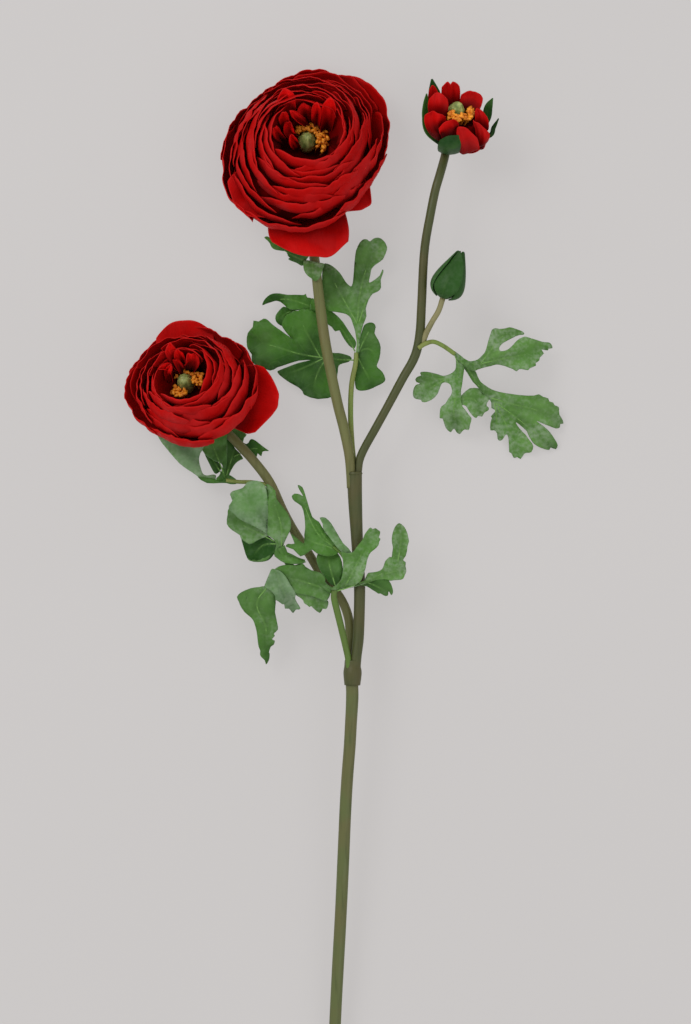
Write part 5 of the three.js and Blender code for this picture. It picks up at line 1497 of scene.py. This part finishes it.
# A row of stamens is its node, flower, foot, height, place in the flower, seed and clumps. A clump
# is [turn in degrees, half width in degrees, nearest, farthest, how many].
LARGE_CLUMPS = ((26, 66, 5.2, 10.5, 60), (128, 30, 5.2, 8, 16))
SMALL_CLUMPS = ((-118, 34, 4.8, 9, 26), (12, 34, 4.6, 9.6, 26), (120, 60, 4.4, 5.6, 8))
BUD_CLUMPS = ((-85, 60, 4, 7.6, 30), (-8, 22, 5, 8, 14))
STAMENS = (
    ("large_bloom_stamens", LARGE_BLOOM, WELL_FLOOR, 9, LARGE_HEART, 11, LARGE_CLUMPS),
    ("small_bloom_stamens", SMALL_BLOOM, SMALL_FLOOR, 8, SMALL_HEART, 23, SMALL_CLUMPS),
    ("bud_stamens", OPENING_BUD, BUD_FLOOR, 8, (-1, 1.4), 61, BUD_CLUMPS),
)


class SPRAY_OT_hearts(Operator):
    """Make the stamens and the seed heads of the flowers"""

    bl_idname = "spray.hearts"
    bl_label = "Stamens and seed heads"

    def execute(self, context):
        head = grainy("seed_head", SEED_HEAD, SEED_HEAD_SHADE, 420.0, 0.35)
        anther = grainy("anther", ANTHER, ANTHER_SHADE, 500.0, 0.5)
        for node, flower, radius, height, base, (dx, dy), shoulder in PISTILS:
            bm = new_mesh()
            place = upright(flower) @ Matrix.Translation((dx, dy, 0))
            profile = [
                [0, 0],
                [0.8, 0.02],
                [1, 0.3],
                [0.9 + 0.08 * shoulder, 0.62],
                [0.3 + 0.42 * shoulder, 0.9],
                [0.1 + 0.2 * shoulder, 1.0],
                [0, 1.0],
            ]
            profile = [[out * radius, base + up * height] for out, up in profile]

            def ridged(turn, v):
                lumps = 0.03 * noise.noise(Vector((3 * cos(turn), 3 * sin(turn), 6 * v)))
                return 1 + 0.07 * cos(9 * turn) * ease(0.2, 0.5, v) + lumps

            add_turned(bm, profile, 54, 28, place, 0.2, ridged)
            finish_piece("fine_" + node, bm, [head], [node])
        for node, flower, base, height, (dx, dy), seed, clumps in STAMENS:
            bm = new_mesh()
            place = upright(flower) @ Matrix.Translation((dx, dy, 0))
            for middle, half, near, far, count in clumps:
                for i in range(count):
                    seed += 1
                    turn = radians(middle + half * jitter(seed))
                    ring = near + (far - near) * (i + 0.5) / count
                    tall = height * (0.95 + 0.15 * jitter(seed + 400)) - 0.25 * (ring - near)
                    foot = Vector(((ring - 1.2) * cos(turn), (ring - 1.2) * sin(turn), base))
                    tip = Vector((ring * cos(turn), ring * sin(turn), base + tall))
                    spots = ((foot, 0.25), (foot.lerp(tip, 0.6), 0.22), (tip, 0.2))
                    rows = [[*(place @ spot), thin] for spot, thin in spots]
                    add_rod(bm, rows, 5, 4, 0.9)
                    self.add_anther(bm, place @ tip, seed)
            finish_piece("fine_" + node, bm, [anther], [node])
        return {"FINISHED"}

    def add_anther(self, bm, tip, seed):
        """A small bean-shaped sac that tops a stamen."""
        size = Matrix.Diagonal((0.85, 1.5 + 0.35 * jitter(seed), 0.9, 1))
        tilt = Matrix.Rotation(0.7 * jitter(seed + 9), 4, "X")
        turn = Matrix.Rotation(3 * jitter(seed + 5), 4, "Z") @ tilt
        place = Matrix.Translation(tip) @ turn @ size
        made = bmesh.ops.create_uvsphere(
            bm, u_segments=8, v_segments=6, radius=1, matrix=place, calc_uvs=True
        )
        layer = bm.verts.layers.float["tone"]
        for vert in made["verts"]:
            vert[layer] = 0.35 + 0.35 * jitter(seed + 13)
        for part in {part for vert in made["verts"] for part in vert.link_faces}:
            part.smooth = True


# A calyx is its node, its flower, its cup's radius and how far its five sepals reach.
CALYXES = (
    ("large_bloom_calyx", LARGE_BLOOM, 6, 13),
    ("small_bloom_calyx", SMALL_BLOOM, 5, 11),
)
SEPAL_TURNS = (18, 90, 162, 234, 306)


class SPRAY_OT_sepals(Operator):
    """Make the sepals behind the open blooms"""

    bl_idname = "spray.sepals"
    bl_label = "Sepals"

    def execute(self, context):
        settings = context.scene.spray_leaves
        green = leaf_blade("sepal_green", settings, SEPAL_GREEN, 0.4, 0.15, wide=4.0)
        for node, flower, radius, reach in CALYXES:
            bm = new_mesh()
            place = upright(flower)
            line = [[2, -1.2], [0.5 * reach, -1.4], [0.8 * reach, -1.1], [reach, -0.6]]
            for number, degrees in enumerate(SEPAL_TURNS):
                point = petal(radians(degrees), 0.42, line, 0.2, 0.2, number, rounding=0.45)
                bend_grid(bm, 12, 14, placed(place, point), 0.3)
            finish_piece("fine_" + node, bm, [green], [node], settings.thickness)
            bm = new_mesh()
            dish = [[0, -3.2], [0.55 * radius, -3], [radius, -1.5], [radius * 0.9, -0.3], [0, 0]]
            add_turned(bm, dish, 32, 20, place, 0.4)
            finish_piece("fine_" + node + "_cup", bm, [green], [node])
        return {"FINISHED"}


class SPRAY_OT_buds(Operator):
    """Make the opening bud and the closed bud"""

    bl_idname = "spray.buds"
    bl_label = "Buds"

    def execute(self, context):
        petals = context.scene.spray_petals
        settings = context.scene.spray_leaves
        # Painted shade: the bud's petals have a longer near-black foot, and their red is a little lighter as
        # painted light
        cloth = petal_cloth("bud_petal_cloth", petals, 1.05, 5, foot=0.8)
        edge = petal_edge("bud_petal_edge", petals)
        sepal = leaf_blade("bud_sepal_green", settings, BUD_SEPAL_GREEN, 0.15, 0.03, wide=4.0)
        self.add_opening_bud(petals, settings, cloth, edge, sepal)
        closed = leaf_blade("closed_bud_green", settings, CLOSED_BUD_GREEN, 0.2, 0.2, wide=4.0)
        self.add_closed_bud(settings, closed)
        return {"FINISHED"}

    def add_opening_bud(self, petals, settings, cloth, edge, sepal):
        bm = sheets(BUD_PETALS, 24, 24, 211, tone=0.15, pleats=1.1, crumple=1.4)
        finish_piece("fine_bud_petals", bm, [cloth, edge], ["bud_petals"], petals.thickness, rim=1)
        bm = new_mesh()
        # Painted shade: the cup inside the bud's petals is near-black cloth
        add_turned(bm, BUD_CUP, 40, 30, frame_of(OPENING_BUD), 0.8)
        finish_piece("fine_bud_cup", bm, [petal_depth("bud_depth", petals)], ["bud_petals"])
        bm = sheets(BUD_SEPALS, 18, 26, 400, tone=0.2, crumple=0.3)
        finish_piece("fine_bud_sepals", bm, [sepal], ["bud_sepals"], settings.thickness)

    def add_closed_bud(self, settings, green):
        place = frame_of(CLOSED_BUD)
        bm = new_mesh()
        for i in range(4):
            line = [[3.4, -0.4], [10.4 + 0.4 * i, 2.6], [10 - 0.3 * i, 9.5], [0.5 + 0.3 * i, 24.6]]
            point = petal(pi * (i + 0.9) / 2, 1.05, line, 1.3, 0.3, 500 + i, crumple=0.8)
            bend_grid(bm, 24, 24, placed(place, point), 0.2 + 0.15 * i)
        finish_piece("fine_closed_bud", bm, [green], ["closed_bud"], settings.thickness)
        bm = new_mesh()
        add_turned(bm, CLOSED_BUD_CORE, 32, 24, place, 0.6)
        finish_piece("fine_closed_bud_core", bm, [green], ["closed_bud"])


# Floor, lights and camera

# A light's row is its name, its place and the width of its disk in metres, and its power's setting.
LIGHTS = (
    ("key_light", (-1.3, 1.2, 1.7), 1.4, "key"),
    ("fill_light", (1.4, -0.7, 1.9), 1.8, "fill"),
)
AIM = Vector((0, 0.05, 0))
LENS = 150
SENSOR = 36
FLOOR_REACH = 4
GLOW_STRENGTH = 0.425


class SPRAY_OT_stage(Operator):
    """Lay the floor, hang the lights and set the camera over the spray"""

    bl_idname = "spray.stage"
    bl_label = "Stage"

    def execute(self, context):
        scene = context.scene
        settings = scene.spray_stage
        self.lay_floor(scene, settings)
        for name, place, size, power in LIGHTS:
            self.add_light(scene, name, place, size, getattr(settings, power))
        world = bpy.data.worlds.new("studio")
        world.use_nodes = True
        sky = world.node_tree.nodes["Background"]
        sky.inputs["Color"].default_value = DAYLIGHT
        sky.inputs["Strength"].default_value = settings.sky
        scene.world = world
        scene.view_settings.view_transform = "Standard"
        lens = bpy.data.cameras.new("camera")
        lens.lens = LENS
        lens.sensor_fit = "VERTICAL"
        lens.sensor_height = SENSOR
        lens.clip_end = 50
        camera = bpy.data.objects.new("camera", lens)
        camera.location = (EYE_X * MM, EYE_Y * MM, settings.camera_height)
        scene.collection.objects.link(camera)
        scene.camera = camera
        return {"FINISHED"}

    def lay_floor(self, scene, settings):
        bm = bmesh.new()
        bmesh.ops.create_grid(bm, x_segments=8, y_segments=8, size=FLOOR_REACH)
        mesh = bpy.data.meshes.new("floor")
        bm.to_mesh(mesh)
        bm.free()
        material, tree, shader = start_material("paper", 0.8, Specular_IOR_Level=0.1)
        mottle = grain(tree, object_place(tree), 3.0, 3.0)
        paint(tree, shader, settings.floor, (band(tree, mottle, 0.3, 0.7), scaled(settings.floor, 0.94)))
        shader.inputs["Emission Color"].default_value = PAPER_GLOW
        shader.inputs["Emission Strength"].default_value = GLOW_STRENGTH
        mesh.materials.append(material)
        paper = bpy.data.objects.new("floor", mesh)
        scene.collection.objects.link(paper)

    def add_light(self, scene, name, place, size, power):
        lamp = bpy.data.lights.new(name, "AREA")
        lamp.shape = "DISK"
        lamp.size = size
        lamp.energy = power
        light = bpy.data.objects.new(name, lamp)
        light.location = place
        light.rotation_euler = (AIM - Vector(place)).to_track_quat("-Z", "Y").to_euler()
        scene.collection.objects.link(light)


class SPRAY_PT_panel(Panel):
    """The spray's settings and the steps that build it"""

    bl_idname = "SPRAY_PT_panel"
    bl_label = "Persian buttercup"
    bl_space_type = "VIEW_3D"
    bl_region_type = "UI"
    bl_category = "Buttercup"

    def draw(self, context):
        layout = self.layout
        for name in SETTINGS:
            box = layout.box()
            group = getattr(context.scene, name)
            for key in group.__annotations__:
                box.prop(group, key)
        for step in STEPS:
            layout.operator(step.bl_idname)


SETTINGS = {
    "spray_petals": SPRAY_PG_petals,
    "spray_leaves": SPRAY_PG_leaves,
    "spray_stems": SPRAY_PG_stems,
    "spray_stage": SPRAY_PG_stage,
}
STEPS = (
    SPRAY_OT_stems,
    SPRAY_OT_leaves,
    SPRAY_OT_blooms,
    SPRAY_OT_hearts,
    SPRAY_OT_sepals,
    SPRAY_OT_buds,
    SPRAY_OT_stage,
)


def register():
    for kind in (*SETTINGS.values(), *STEPS, SPRAY_PT_panel):
        bpy.utils.register_class(kind)
    for name, kind in SETTINGS.items():
        setattr(bpy.types.Scene, name, PointerProperty(type=kind))


def unregister():
    for name in SETTINGS:
        delattr(bpy.types.Scene, name)
    for kind in reversed((*SETTINGS.values(), *STEPS, SPRAY_PT_panel)):
        bpy.utils.unregister_class(kind)


def main():
    register()
    bpy.ops.spray.stems()
    bpy.ops.spray.leaves()
    bpy.ops.spray.blooms()
    bpy.ops.spray.hearts()
    bpy.ops.spray.sepals()
    bpy.ops.spray.buds()
    bpy.ops.spray.stage()
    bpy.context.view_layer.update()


if __name__ == "__main__":
    main()
